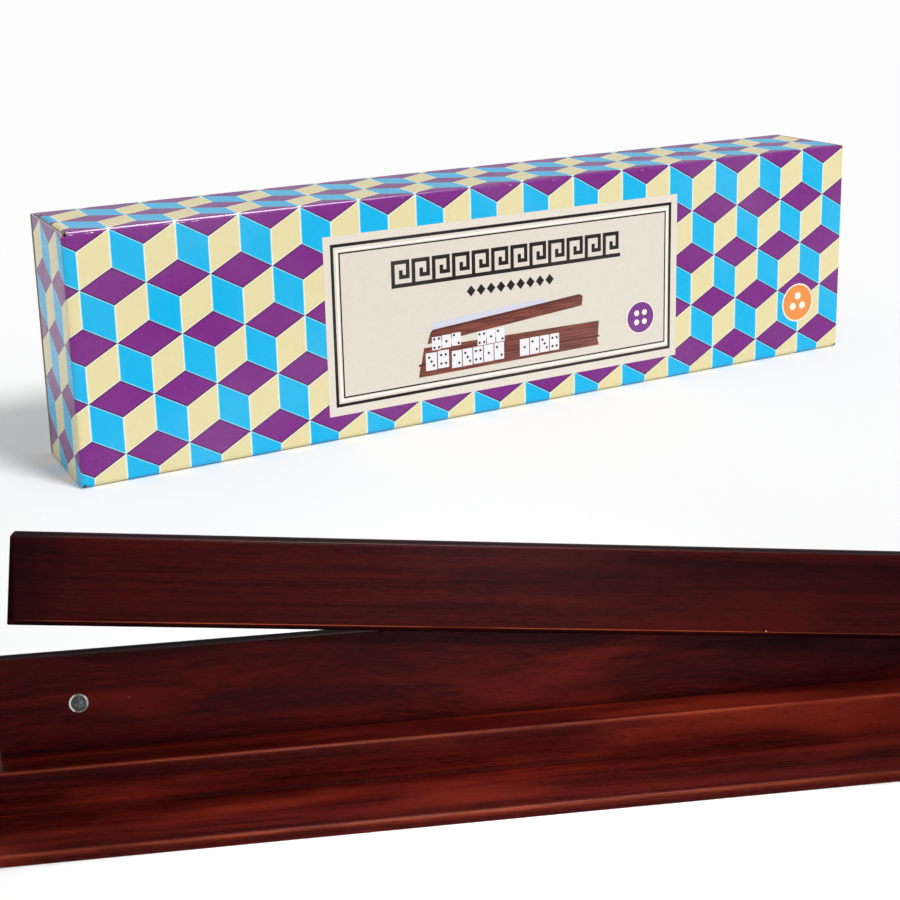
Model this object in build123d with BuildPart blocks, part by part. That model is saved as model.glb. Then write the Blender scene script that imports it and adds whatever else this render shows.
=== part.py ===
"""Boxed set of four tile racks, in millimetres: X along the carton, Y to its back, Z up.

A printed tuck-end carton holds three wooden racks, and the fourth stands in front of it with its
pusher bar swung open. The origin is the centre of the carton's bottom face.
"""
from build123d import *
from math import atan, cos, degrees, radians, sin, tan
import os

os.makedirs("parts", exist_ok=True)

# Rack section, from its front lip to the top of its leaning back board
rack_length = 466.0
front_lip = 3.5
lower_ledge = 23.5
ledge_tilt = 2.0
step_height = 13.0
step_lean = 6.0
upper_ledge = 16.5
panel_lean = 12.0
back_thickness = 7.0
nose_radius = 1.6
cove_radius = 1.8
lip_radius = 1.0
board_edge_radius = 0.8

# Pusher bar, which swings on a shoulder screw near its right end
pusher_height = 28.0
pusher_thickness = 8.0
pusher_edge_radius = 1.0
pusher_left_inset = 5.0
ledge_clearance = 0.7
panel_margin = 1.3
pivot_inset = 25.0
rest_opening = 5.5

# Pivot screw and its washer
shoulder_radius = 2.0
running_clearance = 0.05
screw_head_radius = 4.5
screw_head_height = 2.4
screw_head_clearance = 0.3
screw_head_round = 1.0
driver_slot_width = 0.9
driver_slot_depth = 0.8
thread_radius = 1.5
thread_length = 5.0
washer_thickness = 0.8
washer_radius = 4.2
washer_bore_clearance = 0.2

# Catch at the left end: a cup magnet in the back board and a steel disc in the bar
magnet_radius = 3.0
magnet_depth = 2.4
magnet_proud = 0.4
cup_wall = 0.6
core_clearance = 0.05
magnet_inset = 25.0
strike_thickness = 1.0
strike_recess = 0.1
pocket_clearance = 0.05

# Carton board, its creases and the room around the racks
board = 1.5
fold_radius = 2.0
crease_gap = 0.3
end_play = 2.0
front_play = 0.5
tongue_play = 0.5
nest_gap = 0.3
head_room = 33.0
tongue_length = 14.0
tongue_corner = 6.0
tongue_end_gap = 1.2
flap_length = 32.0
flap_taper = 45.0
flap_rear_taper = 4.0

# The fourth rack's stand: how far it is in front of the carton, across it and turned
stand_forward = 370.0
stand_across = -124.0
stand_turn = -20.5

# Rack section worked out from the sizes above: the panel is a little taller than the bar on it
panel_rise = ledge_clearance + pusher_height + panel_margin
step_foot = (lower_ledge, front_lip - lower_ledge * tan(radians(ledge_tilt)))
nose = (step_foot[0] + step_height * tan(radians(step_lean)), step_foot[1] + step_height)
panel_foot = (
    nose[0] + upper_ledge * cos(radians(panel_lean)),
    nose[1] - upper_ledge * sin(radians(panel_lean)),
)
panel_base = panel_foot[0] - panel_foot[1] * tan(radians(panel_lean))
panel_top = (
    panel_foot[0] + panel_rise * sin(radians(panel_lean)),
    panel_foot[1] + panel_rise * cos(radians(panel_lean)),
)
panel_rear = (
    panel_top[0] + back_thickness * cos(radians(panel_lean)),
    panel_top[1] - back_thickness * sin(radians(panel_lean)),
)
rack_depth = panel_rear[0]
rack_height = panel_top[1]
pair_height = rack_height + front_lip + nest_gap

# The leaning face that the pusher lies on, with X along the rack and Y up the face
panel_plane = Plane(
    origin=(0, panel_foot[0], panel_foot[1]),
    x_dir=(1, 0, 0),
    z_dir=(0, -cos(radians(panel_lean)), sin(radians(panel_lean))),
)
pivot_spot = (rack_length / 2 - pivot_inset, ledge_clearance + pusher_height / 2)
magnet_spot = (-rack_length / 2 + magnet_inset, pivot_spot[1])
pusher_reach = rack_length - pivot_inset - pusher_left_inset
catch_reach = pivot_spot[0] - magnet_spot[0]

# Carton worked out from the racks that it holds
end_stack = 2 * board + crease_gap
tongue_drop = tongue_length ** 2 / (2 * rack_depth)
tongue_lean = degrees(atan(tongue_drop / tongue_length))
tongue_room = fold_radius - board + 2 * crease_gap + tongue_drop + board + tongue_play
carton_length = rack_length + 2 * (end_stack + end_play)
carton_depth = 2 * board + front_play + rack_depth + tongue_room
carton_height = 2 * board + 2 * pair_height + head_room
front_face = -carton_depth / 2
back_face = carton_depth / 2
crease_radius = board + crease_gap
room_rear = back_face - fold_radius - crease_gap
hinge_side = front_face + 2 * board + crease_gap
flap_width = rack_depth - hinge_side + front_face + board


def write(part, label):
    """Names a finished piece and saves it."""
    part.label = label
    export_step(part, f"parts/{label}.step")


# Back board: the leaning rear panel, bored for the pivot screw and pocketed for the magnet
with BuildPart() as back_board:
    with BuildSketch(Plane.YZ) as board_section:
        with BuildLine():
            Polyline(
                (panel_base, 0),
                panel_top,
                panel_rear,
                (panel_base + back_thickness / cos(radians(panel_lean)), 0),
                close=True,
            )
        make_face()
        fillet(board_section.vertices().group_by(Axis.Y)[-1], board_edge_radius)
        fillet(board_section.vertices().sort_by_distance(panel_rear)[0], board_edge_radius)
    extrude(amount=rack_length / 2, both=True)
    with BuildSketch(panel_plane):
        with Locations(pivot_spot):
            Circle(thread_radius + running_clearance)
    extrude(amount=-thread_length - crease_gap, mode=Mode.SUBTRACT)
    with BuildSketch(panel_plane):
        with Locations(magnet_spot):
            Circle(magnet_radius + pocket_clearance)
    extrude(amount=-magnet_depth, mode=Mode.SUBTRACT)

# Front moulding: lower ledge, coved step, rounded nose and upper ledge in one run of wood
with BuildPart() as front_moulding:
    with BuildSketch(Plane.YZ) as moulding_section:
        with BuildLine():
            Polyline((0, 0), (0, front_lip), step_foot, nose, panel_foot, (panel_base, 0), close=True)
        make_face()
        fillet(moulding_section.vertices().sort_by_distance(nose)[0], nose_radius)
        fillet(moulding_section.vertices().sort_by_distance(step_foot)[0], cove_radius)
        fillet(moulding_section.vertices().sort_by_distance((0, front_lip))[0], lip_radius)
    extrude(amount=rack_length / 2, both=True)

# Pusher bar, drawn with its pivot at the origin: square at the left, rounded at the pivot end
with BuildPart() as pusher_bar:
    with BuildSketch():
        with Locations((-pusher_reach / 2, 0)):
            Rectangle(pusher_reach, pusher_height)
        Circle(pusher_height / 2)
    extrude(amount=pusher_thickness)
    front_edges = pusher_bar.faces().sort_by(Axis.Z)[-1].edges()
    fillet(front_edges, pusher_edge_radius)
    with BuildSketch():
        Circle(shoulder_radius + running_clearance)
    extrude(amount=pusher_thickness, mode=Mode.SUBTRACT)
    with BuildSketch():
        with Locations((-catch_reach, 0)):
            Circle(magnet_radius + pocket_clearance)
    extrude(amount=strike_thickness + strike_recess, mode=Mode.SUBTRACT)

# Pivot screw: thread in the back board, shoulder through washer and bar, slotted round head
shoulder_length = washer_thickness + pusher_thickness + screw_head_clearance
with BuildPart() as pivot_screw:
    with BuildSketch(Plane.XY.offset(-thread_length)):
        Circle(thread_radius)
    extrude(amount=thread_length)
    with BuildSketch():
        Circle(shoulder_radius)
    extrude(amount=shoulder_length)
    with BuildSketch(Plane.XY.offset(shoulder_length)):
        Circle(screw_head_radius)
    extrude(amount=screw_head_height)
    fillet(pivot_screw.edges().sort_by(Axis.Z)[-1], screw_head_round)
    with BuildSketch(Plane.XY.offset(shoulder_length + screw_head_height - driver_slot_depth)):
        Rectangle(2 * screw_head_radius, driver_slot_width)
    extrude(amount=driver_slot_depth, mode=Mode.SUBTRACT)

# Washer that holds the bar off the lacquered board
with BuildPart() as pivot_washer:
    with BuildSketch():
        Circle(washer_radius)
        Circle(shoulder_radius + washer_bore_clearance, mode=Mode.SUBTRACT)
    extrude(amount=washer_thickness - running_clearance)

# Magnet cup and core, drawn with the face of the back board at zero height
with BuildPart() as magnet_cup:
    with BuildSketch(Plane.XY.offset(-magnet_depth)):
        Circle(magnet_radius)
    extrude(amount=magnet_depth + magnet_proud)
    with BuildSketch(Plane.XY.offset(cup_wall - magnet_depth)):
        Circle(magnet_radius - cup_wall)
    extrude(amount=magnet_depth + magnet_proud - cup_wall, mode=Mode.SUBTRACT)
with BuildPart() as magnet_core:
    with BuildSketch(Plane.XY.offset(cup_wall - magnet_depth)):
        Circle(magnet_radius - cup_wall - core_clearance)
    extrude(amount=magnet_depth + magnet_proud - cup_wall - strike_recess)

# Steel disc that the magnet pulls, just below the rear face of the bar
with BuildPart() as strike_disc:
    with BuildSketch(Plane.XY.offset(strike_recess)):
        with Locations((-catch_reach, 0)):
            Circle(magnet_radius)
    extrude(amount=strike_thickness)


def swing(opening, height):
    """Where a piece drawn about the pivot lies, at a height over the panel and an opening angle."""
    pivot_plane = Plane(
        origin=panel_plane.from_local_coords(Vector(*pivot_spot, height)),
        x_dir=panel_plane.x_dir,
        z_dir=panel_plane.z_dir,
    )
    return pivot_plane.location * Location((0, 0, 0), (0, 0, -opening))


magnet_place = Plane(
    origin=panel_plane.from_local_coords(Vector(*magnet_spot, 0)),
    x_dir=panel_plane.x_dir,
    z_dir=panel_plane.z_dir,
).location

# Where each rack is: one upright on the carton's floor, one upside down nested over it, one
# upright on that one's base, and the fourth on the table in front
rack_front = front_face + board + front_play
floor_level = board + nest_gap
stored_racks = {
    "lower_rack": Location((0, rack_front, floor_level)),
    "middle_rack": Location((0, rack_front + rack_depth, floor_level + pair_height), (180, 0, 0)),
    "upper_rack": Location((0, rack_front, floor_level + pair_height + nest_gap)),
}
stand_place = Location((stand_across, front_face - stand_forward, 0), (0, 0, stand_turn))

for name, place in stored_racks.items():
    write(place * back_board.part, f"{name}_back_board")
    write(place * front_moulding.part, f"{name}_moulding")
    write(place * swing(0, washer_thickness) * pusher_bar.part, f"{name}_pusher")

write(stand_place * back_board.part, "rack_back_board")
write(stand_place * front_moulding.part, "rack_moulding")
write(stand_place * swing(rest_opening, washer_thickness) * pusher_bar.part, "rack_pusher")
write(stand_place * swing(rest_opening, washer_thickness) * strike_disc.part, "rack_strike_disc")

# Small fittings: one node each on the standing rack, one node for the three stored alike
fittings = {
    "pivot_screw": (pivot_screw.part, swing(0, 0)),
    "pivot_washer": (pivot_washer.part, swing(0, running_clearance / 2)),
    "magnet_cup": (magnet_cup.part, magnet_place),
    "magnet_core": (magnet_core.part, magnet_place),
}
for name, (piece, spot) in fittings.items():
    write(stand_place * spot * piece, f"rack_{name}")
fittings["strike_disc"] = (strike_disc.part, swing(0, washer_thickness))
for name, (piece, spot) in fittings.items():
    copies = [place * spot * piece for place in stored_racks.values()]
    write(Compound(children=copies), f"stored_{name}s")

# Sleeve of the carton: one sheet folded into a tube, with its two ends cut for the creases
with BuildPart() as carton_sleeve:
    with BuildSketch(Plane.YZ):
        with Locations((0, carton_height / 2)):
            RectangleRounded(carton_depth, carton_height, fold_radius)
            RectangleRounded(
                carton_depth - 2 * board,
                carton_height - 2 * board,
                fold_radius - board,
                mode=Mode.SUBTRACT,
            )
    extrude(amount=carton_length / 2, both=True)
    for side in (-1, 1):
        end = side * carton_length / 2
        # The closure panel covers the ends of the front, top and bottom walls
        with Locations((end, front_face - board, carton_height / 2)):
            Box(
                2 * crease_radius,
                room_rear - front_face + board,
                2 * carton_height,
                align=(Align.CENTER, Align.MIN, Align.CENTER),
                mode=Mode.SUBTRACT,
            )
        with Locations((end - side * board, front_face + board, carton_height / 2)):
            Cylinder(crease_radius, 2 * carton_height, rotation=(0, 0, 90), mode=Mode.SUBTRACT)
        # The dust flaps turn in grooves along the ends of the top and bottom walls
        for level, skin in ((board, 0), (carton_height - board, carton_height)):
            with Locations((end - side * end_stack, hinge_side - crease_gap, level)):
                Cylinder(
                    crease_radius,
                    flap_width + 2 * crease_gap,
                    rotation=(-90, 0, 0),
                    align=(Align.CENTER, Align.CENTER, Align.MIN),
                    mode=Mode.SUBTRACT,
                )
            with Locations((end - side * end_stack / 2, hinge_side - crease_gap, skin)):
                Box(
                    end_stack,
                    flap_width + 2 * crease_gap,
                    2 * board,
                    align=(Align.CENTER, Align.MIN, Align.CENTER),
                    mode=Mode.SUBTRACT,
                )
write(carton_sleeve.part, "carton_sleeve")

# Closure panel of the right end: a plate on a rounded crease, and a tongue that tucks in behind
crease_x = carton_length / 2 - board
crease_y = front_face + board
plate_rear = room_rear - crease_gap
plate_height = carton_height - 2 * crease_gap
tongue_plane = Plane(
    origin=(carton_length / 2, plate_rear, carton_height / 2),
    x_dir=(-cos(radians(tongue_lean)), -sin(radians(tongue_lean)), 0),
    z_dir=(-sin(radians(tongue_lean)), cos(radians(tongue_lean)), 0),
)
with BuildPart() as right_closure:
    with BuildSketch(Plane.XY.offset(crease_gap)):
        with Locations((crease_x, crease_y)):
            Circle(board)
            Rectangle(2 * board, board, align=(Align.CENTER, Align.MIN), mode=Mode.SUBTRACT)
            Rectangle(board, plate_rear - crease_y, align=(Align.MIN, Align.MIN))
    extrude(amount=plate_height)
    with BuildSketch(tongue_plane) as tongue_outline:
        Rectangle(
            tongue_length / cos(radians(tongue_lean)),
            carton_height - 2 * (board + tongue_end_gap),
            align=(Align.MIN, Align.CENTER),
        )
        fillet(tongue_outline.vertices().group_by(Axis.X)[-1], tongue_corner)
    extrude(amount=-board)
write(right_closure.part, "right_closure")

# Dust flap of the right end, at the bottom: a tapered plate on its own rounded crease
flap_x = carton_length / 2 - end_stack
flap_plane = Plane(
    origin=(flap_x, hinge_side, board),
    x_dir=(0, 1, 0),
    z_dir=(1, 0, 0),
)
taper_run = flap_length * tan(radians(flap_taper))
rear_run = flap_length * tan(radians(flap_rear_taper))
with BuildPart() as right_bottom_flap:
    with BuildSketch(flap_plane):
        with BuildLine():
            Polyline(
                (0, 0),
                (flap_width, 0),
                (flap_width - rear_run, flap_length),
                (taper_run, flap_length),
                close=True,
            )
        make_face()
    extrude(amount=board)
    with BuildSketch(Plane.XZ.offset(-hinge_side)) as crease_section:
        with Locations((flap_x, board)):
            Circle(board)
            Rectangle(
                2 * board,
                board,
                align=(Align.CENTER, Align.MIN),
                mode=Mode.SUBTRACT,
            )
    extrude(amount=-flap_width)
write(right_bottom_flap.part, "right_bottom_flap")

# The other end and the upper flaps mirror these
mid_height = Plane.XY.offset(carton_height / 2)
right_top_flap = mirror(right_bottom_flap.part, about=mid_height)
write(right_top_flap, "right_top_flap")
write(mirror(right_closure.part, about=Plane.YZ), "left_closure")
write(mirror(right_bottom_flap.part, about=Plane.YZ), "left_bottom_flap")
write(mirror(right_top_flap, about=Plane.YZ), "left_top_flap")
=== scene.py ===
# %% [markdown]
# # A boxed set of tile racks
# The object is a long printed carton with three dark wooden racks in it, and a fourth rack in front
# with its pusher bar ajar. The CAD frame already holds every piece at its real size and place, so this
# lesson only dresses it: folded board with a crisp print, lacquered wood and a few metal fittings.
# A quick way would be to colour the CAD solids. Board and wood are judged by their edges, though, so
# the sheets and the mouldings that show are made again here as smooth surfaces, worked out with numpy.

# %% The fixed frame
import math

import bpy
import numpy as np
from mathutils import Matrix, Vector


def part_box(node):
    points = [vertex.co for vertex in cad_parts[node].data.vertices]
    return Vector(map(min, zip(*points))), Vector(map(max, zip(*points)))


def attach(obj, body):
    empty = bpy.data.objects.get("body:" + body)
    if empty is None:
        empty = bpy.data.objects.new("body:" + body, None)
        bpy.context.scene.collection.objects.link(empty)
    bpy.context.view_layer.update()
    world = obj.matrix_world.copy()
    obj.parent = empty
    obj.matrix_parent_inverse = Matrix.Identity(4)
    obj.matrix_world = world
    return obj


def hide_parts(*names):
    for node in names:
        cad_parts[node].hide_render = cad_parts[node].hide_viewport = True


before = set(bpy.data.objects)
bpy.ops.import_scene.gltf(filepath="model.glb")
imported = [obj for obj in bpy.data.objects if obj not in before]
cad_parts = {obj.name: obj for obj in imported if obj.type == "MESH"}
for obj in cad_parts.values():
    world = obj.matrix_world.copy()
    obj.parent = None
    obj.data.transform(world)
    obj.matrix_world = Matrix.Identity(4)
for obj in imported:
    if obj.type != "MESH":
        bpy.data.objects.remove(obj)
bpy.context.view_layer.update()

# %% [markdown]
# ## Sizes
# Every size comes from the frame where it can: the carton's outside from the sleeve, the crease lines
# from the closures and flaps. What the frame can't tell, such as the thickness of the board or the
# radius of a fold, is a named value in millimetres times MM.

# %% Carton sizes read from the frame
MM = 0.001
board = 1.5 * MM
fold_radius = 2.9 * MM
rear_fold_radius = 2.0 * MM
fold_inside = 0.5 * MM
crease_gap = 0.3 * MM

sleeve_low, sleeve_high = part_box("carton_sleeve")
end_x = sleeve_high.x
front_y, back_y = sleeve_low.y, sleeve_high.y
top_z = sleeve_high.z
crease_x = end_x - board
crease_y = front_y + board
shut_x = crease_x - crease_gap

closure_low, closure_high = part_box("right_closure")
flap_low, flap_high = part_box("right_bottom_flap")
flap_crease_x = (flap_low.x + flap_high.x) / 2
flap_near, flap_far = flap_low.y, flap_high.y
room_rear = closure_high.y + crease_gap
print("carton", [round(size / MM, 1) for size in (2 * end_x, back_y - front_y, top_z)], "mm")

# %% The rack's section, in the same sizes as its CAD source
rack_half = 233.0 * MM
front_lip = 3.5 * MM
lower_ledge = 23.5 * MM
step_height = 13.0 * MM
upper_ledge = 16.5 * MM
back_thickness = 7.0 * MM
ledge_clearance = 0.7 * MM
bar_height = 28.0 * MM
panel_margin = 1.3 * MM
panel_rise = ledge_clearance + bar_height + panel_margin
ledge_tilt, step_lean, panel_lean = (math.radians(degrees) for degrees in (2.0, 6.0, 12.0))

step_foot = np.array([lower_ledge, front_lip - lower_ledge * math.tan(ledge_tilt)])
nose = step_foot + np.array([step_height * math.tan(step_lean), step_height])
panel_foot = nose + upper_ledge * np.array([math.cos(panel_lean), -math.sin(panel_lean)])
panel_up = np.array([math.sin(panel_lean), math.cos(panel_lean)])
panel_out = np.array([-math.cos(panel_lean), math.sin(panel_lean)])
panel_base = panel_foot - panel_up * panel_foot[1] / panel_up[1]
panel_top = panel_foot + panel_rise * panel_up
print("nose at", (nose / MM).round(2), "panel foot at", (panel_foot / MM).round(2), "mm")

# %% Where the loose rack stands, its left front corner printed beside the frame's
stand_turn = math.radians(-20.5)
stand_spot = np.array([-124.0 * MM, front_y - 370.0 * MM, 0.0])


def turned(points, angle):
    """Points turned about the Z axis by an angle."""
    c, s = math.cos(angle), math.sin(angle)
    x, y, z = points[..., 0], points[..., 1], points[..., 2]
    return np.stack([c * x - s * y, s * x + c * y, z], -1)


def on_stand(points):
    """Points in the rack's own frame, carried to where the loose rack stands."""
    return turned(points, stand_turn) + stand_spot


left_corner = on_stand(np.array([-rack_half, 0.0, 0.0]))
frame_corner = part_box("rack_moulding")[0]
print("left front corner at x", left_corner[0].round(4), "and in the frame", round(frame_corner.x, 4))

# %% [markdown]
# ## Meshes from numbers
# A sheet of board is a block of points with three directions: along its folded path, across it, and
# through its thickness. Only the block's skin becomes faces. Working on whole arrays keeps this fast
# and lets one function make the sleeve, the closures and the flaps.


# %% From arrays to a mesh object
def mesh_object(name, points, corners, uv=None, kinds=None, materials=(), values=None, sharp=40):
    """A mesh from a list of points and rows of four corners. uv holds one pair for each corner, kinds
    one material number for each face, and values named numbers for each point. Faces that meet at more
    than the sharp angle keep a crisp edge. If the volume they enclose comes out negative, they turn."""
    used, flat = np.unique(corners, return_inverse=True)
    points = points[used]
    corners = flat.reshape(corners.shape)
    a, b, c, d = (points[corners[:, k]] for k in range(4))
    volume = np.einsum("ij,ij->i", a, np.cross(b, c) + np.cross(c, d)).sum()
    if volume < 0:
        corners = corners[:, ::-1]
        uv = None if uv is None else uv[:, ::-1]
    mesh = bpy.data.meshes.new(name)
    mesh.from_pydata(points.tolist(), [], corners.tolist())
    if uv is not None:
        layer = mesh.uv_layers.new(name="sheet")
        layer.data.foreach_set("uv", uv.reshape(-1).astype(np.float32))
    for key, data in (values or {}).items():
        kind, field = ("FLOAT", "value") if data.ndim == 1 else ("FLOAT_VECTOR", "vector")
        attribute = mesh.attributes.new(key, kind, "POINT")
        attribute.data.foreach_set(field, data[used].astype(np.float32).ravel())
    for material in materials:
        mesh.materials.append(material)
    if kinds is not None:
        mesh.polygons.foreach_set("material_index", kinds.astype(np.int32))
    mesh.polygons.foreach_set("use_smooth", np.ones(len(mesh.polygons), bool))
    mesh.set_sharp_from_angle(angle=math.radians(sharp))
    mesh.update()
    obj = bpy.data.objects.new(name, mesh)
    bpy.context.scene.collection.objects.link(obj)
    return obj


# %% The skin of a block of points
def block_skin(shape, ring=False):
    """Rows of four corner places (i, j, k) for the six sides of a block of points, each side ordered so
    that its normal points out. In a ring the first direction closes on itself and has no end sides."""
    n, m, layers = shape
    rows = []

    def side(first, second, fixed_axis, value, flip):
        p, q = np.meshgrid(np.arange(first[1] - 1), np.arange(second[1] - 1), indexing="ij")
        steps = [(0, 0), (1, 0), (1, 1), (0, 1)]
        quad = np.zeros((p.size, 4, 3), int)
        for k, (dp, dq) in enumerate(steps[::-1] if flip else steps):
            quad[:, k, first[0]] = p.ravel() + dp
            quad[:, k, second[0]] = q.ravel() + dq
        quad[:, :, fixed_axis] = value
        rows.append(quad)

    around = n + 1 if ring else n
    side((0, around), (1, m), 2, 0, True)
    side((0, around), (1, m), 2, layers - 1, False)
    side((2, layers), (0, around), 1, 0, True)
    side((2, layers), (0, around), 1, m - 1, False)
    if not ring:
        side((1, m), (2, layers), 0, 0, True)
        side((1, m), (2, layers), 0, n - 1, False)
    sides = np.concatenate([np.full(len(row), k) for k, row in enumerate(rows)])
    return np.concatenate(rows), sides


# %% A folded sheet of board
def folded_sheet(name, outer, inner, low, high, across, place, uv_of, wear, depths=(0, 1), ring=False):
    """A sheet of board. outer and inner are matching points of its two skins along the fold path, in
    the plane of the section, and depths are the shares of the way from one to the other that get a
    layer of points. low and high are where the sheet's two edges lie across that plane, for each path
    point and layer. Point (i, j, k) is the mix of outer and inner by depth k, moved across by low plus
    a share of high minus low. place turns section and across into X, Y, Z."""
    depths = np.asarray(depths, float)
    n, m, layers = len(outer), len(across), len(depths)
    section = outer[:, None, :] * (1 - depths)[None, :, None] + inner[:, None, :] * depths[None, :, None]
    reach = low[:, None, :] + (high - low)[:, None, :] * across[None, :, None]
    spread = np.broadcast_to(section[:, None], (n, m, layers, 2))
    points = place(spread[..., 0], spread[..., 1], reach)
    quads, sides = block_skin((n, m, layers), ring)
    i, j, k = quads[..., 0], quads[..., 1], quads[..., 2]
    corners = ((i % n) * m + j) * layers + k
    length = path_length(outer)
    if ring:
        length = np.append(length, length[-1] + np.linalg.norm(outer[0] - outer[-1]))
    uv = np.stack(uv_of(length[i], reach[i % n, j, k]), -1)
    along = np.broadcast_to(length[:n, None, None], reach.shape)
    values = {"wear": wear(along, reach).ravel(), "layer": np.broadcast_to(depths, reach.shape).ravel()}
    kinds = np.where(sides == 0, 0, np.where(sides == 1, 1, 2))
    return mesh_object(name, points.reshape(-1, 3), corners, uv, kinds, board_materials, values)


# %% Arcs, straight runs and soft steps
def path_length(path):
    """The length along a path at each of its points: the running sum of the steps between them."""
    return np.concatenate([[0], np.cumsum(np.linalg.norm(np.diff(path, axis=0), axis=1))])


def arc(centre, radius, start, end, count):
    """Points on an arc: the centre plus the radius times the cosine and sine, from start to end degrees."""
    angle = np.radians(np.linspace(start, end, count))
    return np.stack([centre[0] + radius * np.cos(angle), centre[1] + radius * np.sin(angle)], -1)


def straight(a, b, count):
    """Evenly spaced points from a to b, without the two ends."""
    t = np.linspace(0, 1, count + 2)[1:-1, None]
    return np.array(a) * (1 - t) + np.array(b) * t


def eased(share):
    """A smooth step from 0 to 1: three times the square less twice the cube."""
    share = np.clip(share, 0, 1)
    return share * share * (3 - 2 * share)


def bell(distance, width):
    """A bell curve: e to the power of minus the square of the distance over the width."""
    return np.exp(-((distance / width) ** 2))


# %% [markdown]
# ## Finishes written as formulas
# A material's nodes could be placed by hand in the shader editor. Written out in code, a pattern reads
# best as a formula, so a small helper adds one node for each step of it. What several materials share,
# such as the grain of print or of wood, is a node group, built once and placed with its own values.


# %% Nodes as formulas
class Wires:
    """Shader nodes written as formulas: each method adds a node to the tree and gives its output."""

    def __init__(self, tree):
        self.tree = tree

    def join(self, socket, value):
        """Sets a socket to a value, or links an output to it."""
        if isinstance(value, bpy.types.NodeSocket):
            self.tree.links.new(value, socket)
        else:
            socket.default_value = value

    def feed(self, sockets, **values):
        """Joins each named socket to its value. An underscore stands for a space in the name."""
        for label, value in values.items():
            self.join(sockets[label.replace("_", " ")], value)

    def node(self, kind, inputs, **settings):
        """A node with its settings, and each named input set or linked."""
        made = self.tree.nodes.new("ShaderNode" + kind)
        for key, value in settings.items():
            setattr(made, key, value)
        for key, value in inputs.items():
            self.join(made.inputs[key], value)
        return made

    def group(self, tree, **inputs):
        """A node group placed with its inputs. It gives all its outputs."""
        return self.node("Group", inputs, node_tree=tree).outputs

    def place(self):
        """The place on the object, in metres."""
        return self.node("TexCoord", {}).outputs["Object"]

    def sheet(self):
        """The place on the flat sheet of board, in metres, from the piece's own UV map."""
        return self.node("UVMap", {}, uv_map="sheet").outputs[0]

    def kept(self, name, output="Fac"):
        """What the mesh keeps for each of its points under a name."""
        return self.node("Attribute", {}, attribute_name=name).outputs[output]

    def math(self, operation, *values):
        return self.node("Math", dict(enumerate(values)), operation=operation).outputs[0]

    def mix(self, share, first, second):
        """A colour between two, by a share from 0 to 1."""
        return self.node("Mix", {0: share, 6: first, 7: second}, data_type="RGBA").outputs[2]

    def between(self, share, first, second):
        """A number between two, by a share from 0 to 1."""
        return self.node("Mix", {0: share, 2: first, 3: second}).outputs[0]

    def step(self, value, low, high, first=0.0, last=1.0):
        """A smooth step from the first number, at low, to the last, at high."""
        inputs = dict(enumerate((value, low, high, first, last)))
        return self.node("MapRange", inputs, interpolation_type="SMOOTHSTEP").outputs[0]

    def stretched(self, vector, scale):
        return self.node("Mapping", {"Vector": vector, "Scale": scale}).outputs[0]

    def noise(self, vector, scale, detail=2.0, roughness=0.5):
        """A soft random number. With a scale for each axis it is drawn out along the smaller ones."""
        if isinstance(scale, tuple):
            vector, scale = self.stretched(vector, scale), 1.0
        inputs = {"Vector": vector, "Scale": scale, "Detail": detail, "Roughness": roughness}
        return self.node("TexNoise", inputs).outputs[0]

    def bump(self, height, depth):
        return self.node("Bump", {"Height": height, "Distance": depth}).outputs[0]


def paint(code):
    """A colour from its usual six figure code: each part c becomes ((c + 0.055) / 1.055) to the 2.4."""
    parts = [int(code[k:k + 2], 16) / 255 for k in (0, 2, 4)]
    return tuple(c / 12.92 if c < 0.04 else ((c + 0.055) / 1.055) ** 2.4 for c in parts) + (1.0,)


def node_group(name, takes, gives):
    """An empty group with named inputs and outputs. It gives its wires, what comes in, and its result
    sockets."""
    tree = bpy.data.node_groups.new(name, "ShaderNodeTree")
    kinds = {"vector": "NodeSocketVector", "number": "NodeSocketFloat", "colour": "NodeSocketColor"}
    for label, kind in takes.items():
        tree.interface.new_socket(name=label, in_out="INPUT", socket_type=kinds[kind])
    for label, kind in gives.items():
        tree.interface.new_socket(name=label, in_out="OUTPUT", socket_type=kinds[kind])
    given = tree.nodes.new("NodeGroupInput").outputs
    result = tree.nodes.new("NodeGroupOutput").inputs
    return Wires(tree), given, result


def new_material(name, **constants):
    """A material with its wires and its shader, whose own sockets hold what is the same all over."""
    material = bpy.data.materials.new(name)
    material.use_nodes = True
    w = Wires(material.node_tree)
    shader = material.node_tree.nodes["Principled BSDF"].inputs
    w.feed(shader, **constants)
    return material, w, shader


# %% [markdown]
# ## The print
# The carton is covered with tumbling blocks: rhombuses in three colours that look like stacked cubes.
# It could be drawn face by face, but it is exact to the formula. The plane is cut into hexagons, each
# hexagon into a top and two sides, and every point asks which of them it is in and how far it is from
# the nearest line. The tops are ringed by a dark line and filled with a fine hatch, and the sides have
# pale lines. The print reads the sheet's own UV map, in metres of board, so it runs on unbroken round
# every fold as real print does.

# %% The blocks' sizes and colours
block_period = 32.42 * MM
block_side = block_period / math.sqrt(3)
first_block_u = end_x - block_period / 2
first_block_v = top_z - 0.43 * MM - block_side / 2
pale_line_half = 0.36 * MM
dark_line_half = 0.48 * MM
line_blur = 0.10 * MM
hatch_pitch = 1.45 * MM
purple_deep, purple_bright, purple_line = paint("66186F"), paint("8A2F90"), paint("210A36")
cyan, cyan_line = paint("06B4E8"), paint("A6E2F5")
cream, cream_line = paint("E4D8A6"), paint("FAF7E8")
paper_white = paint("EFEAE2")


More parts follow.
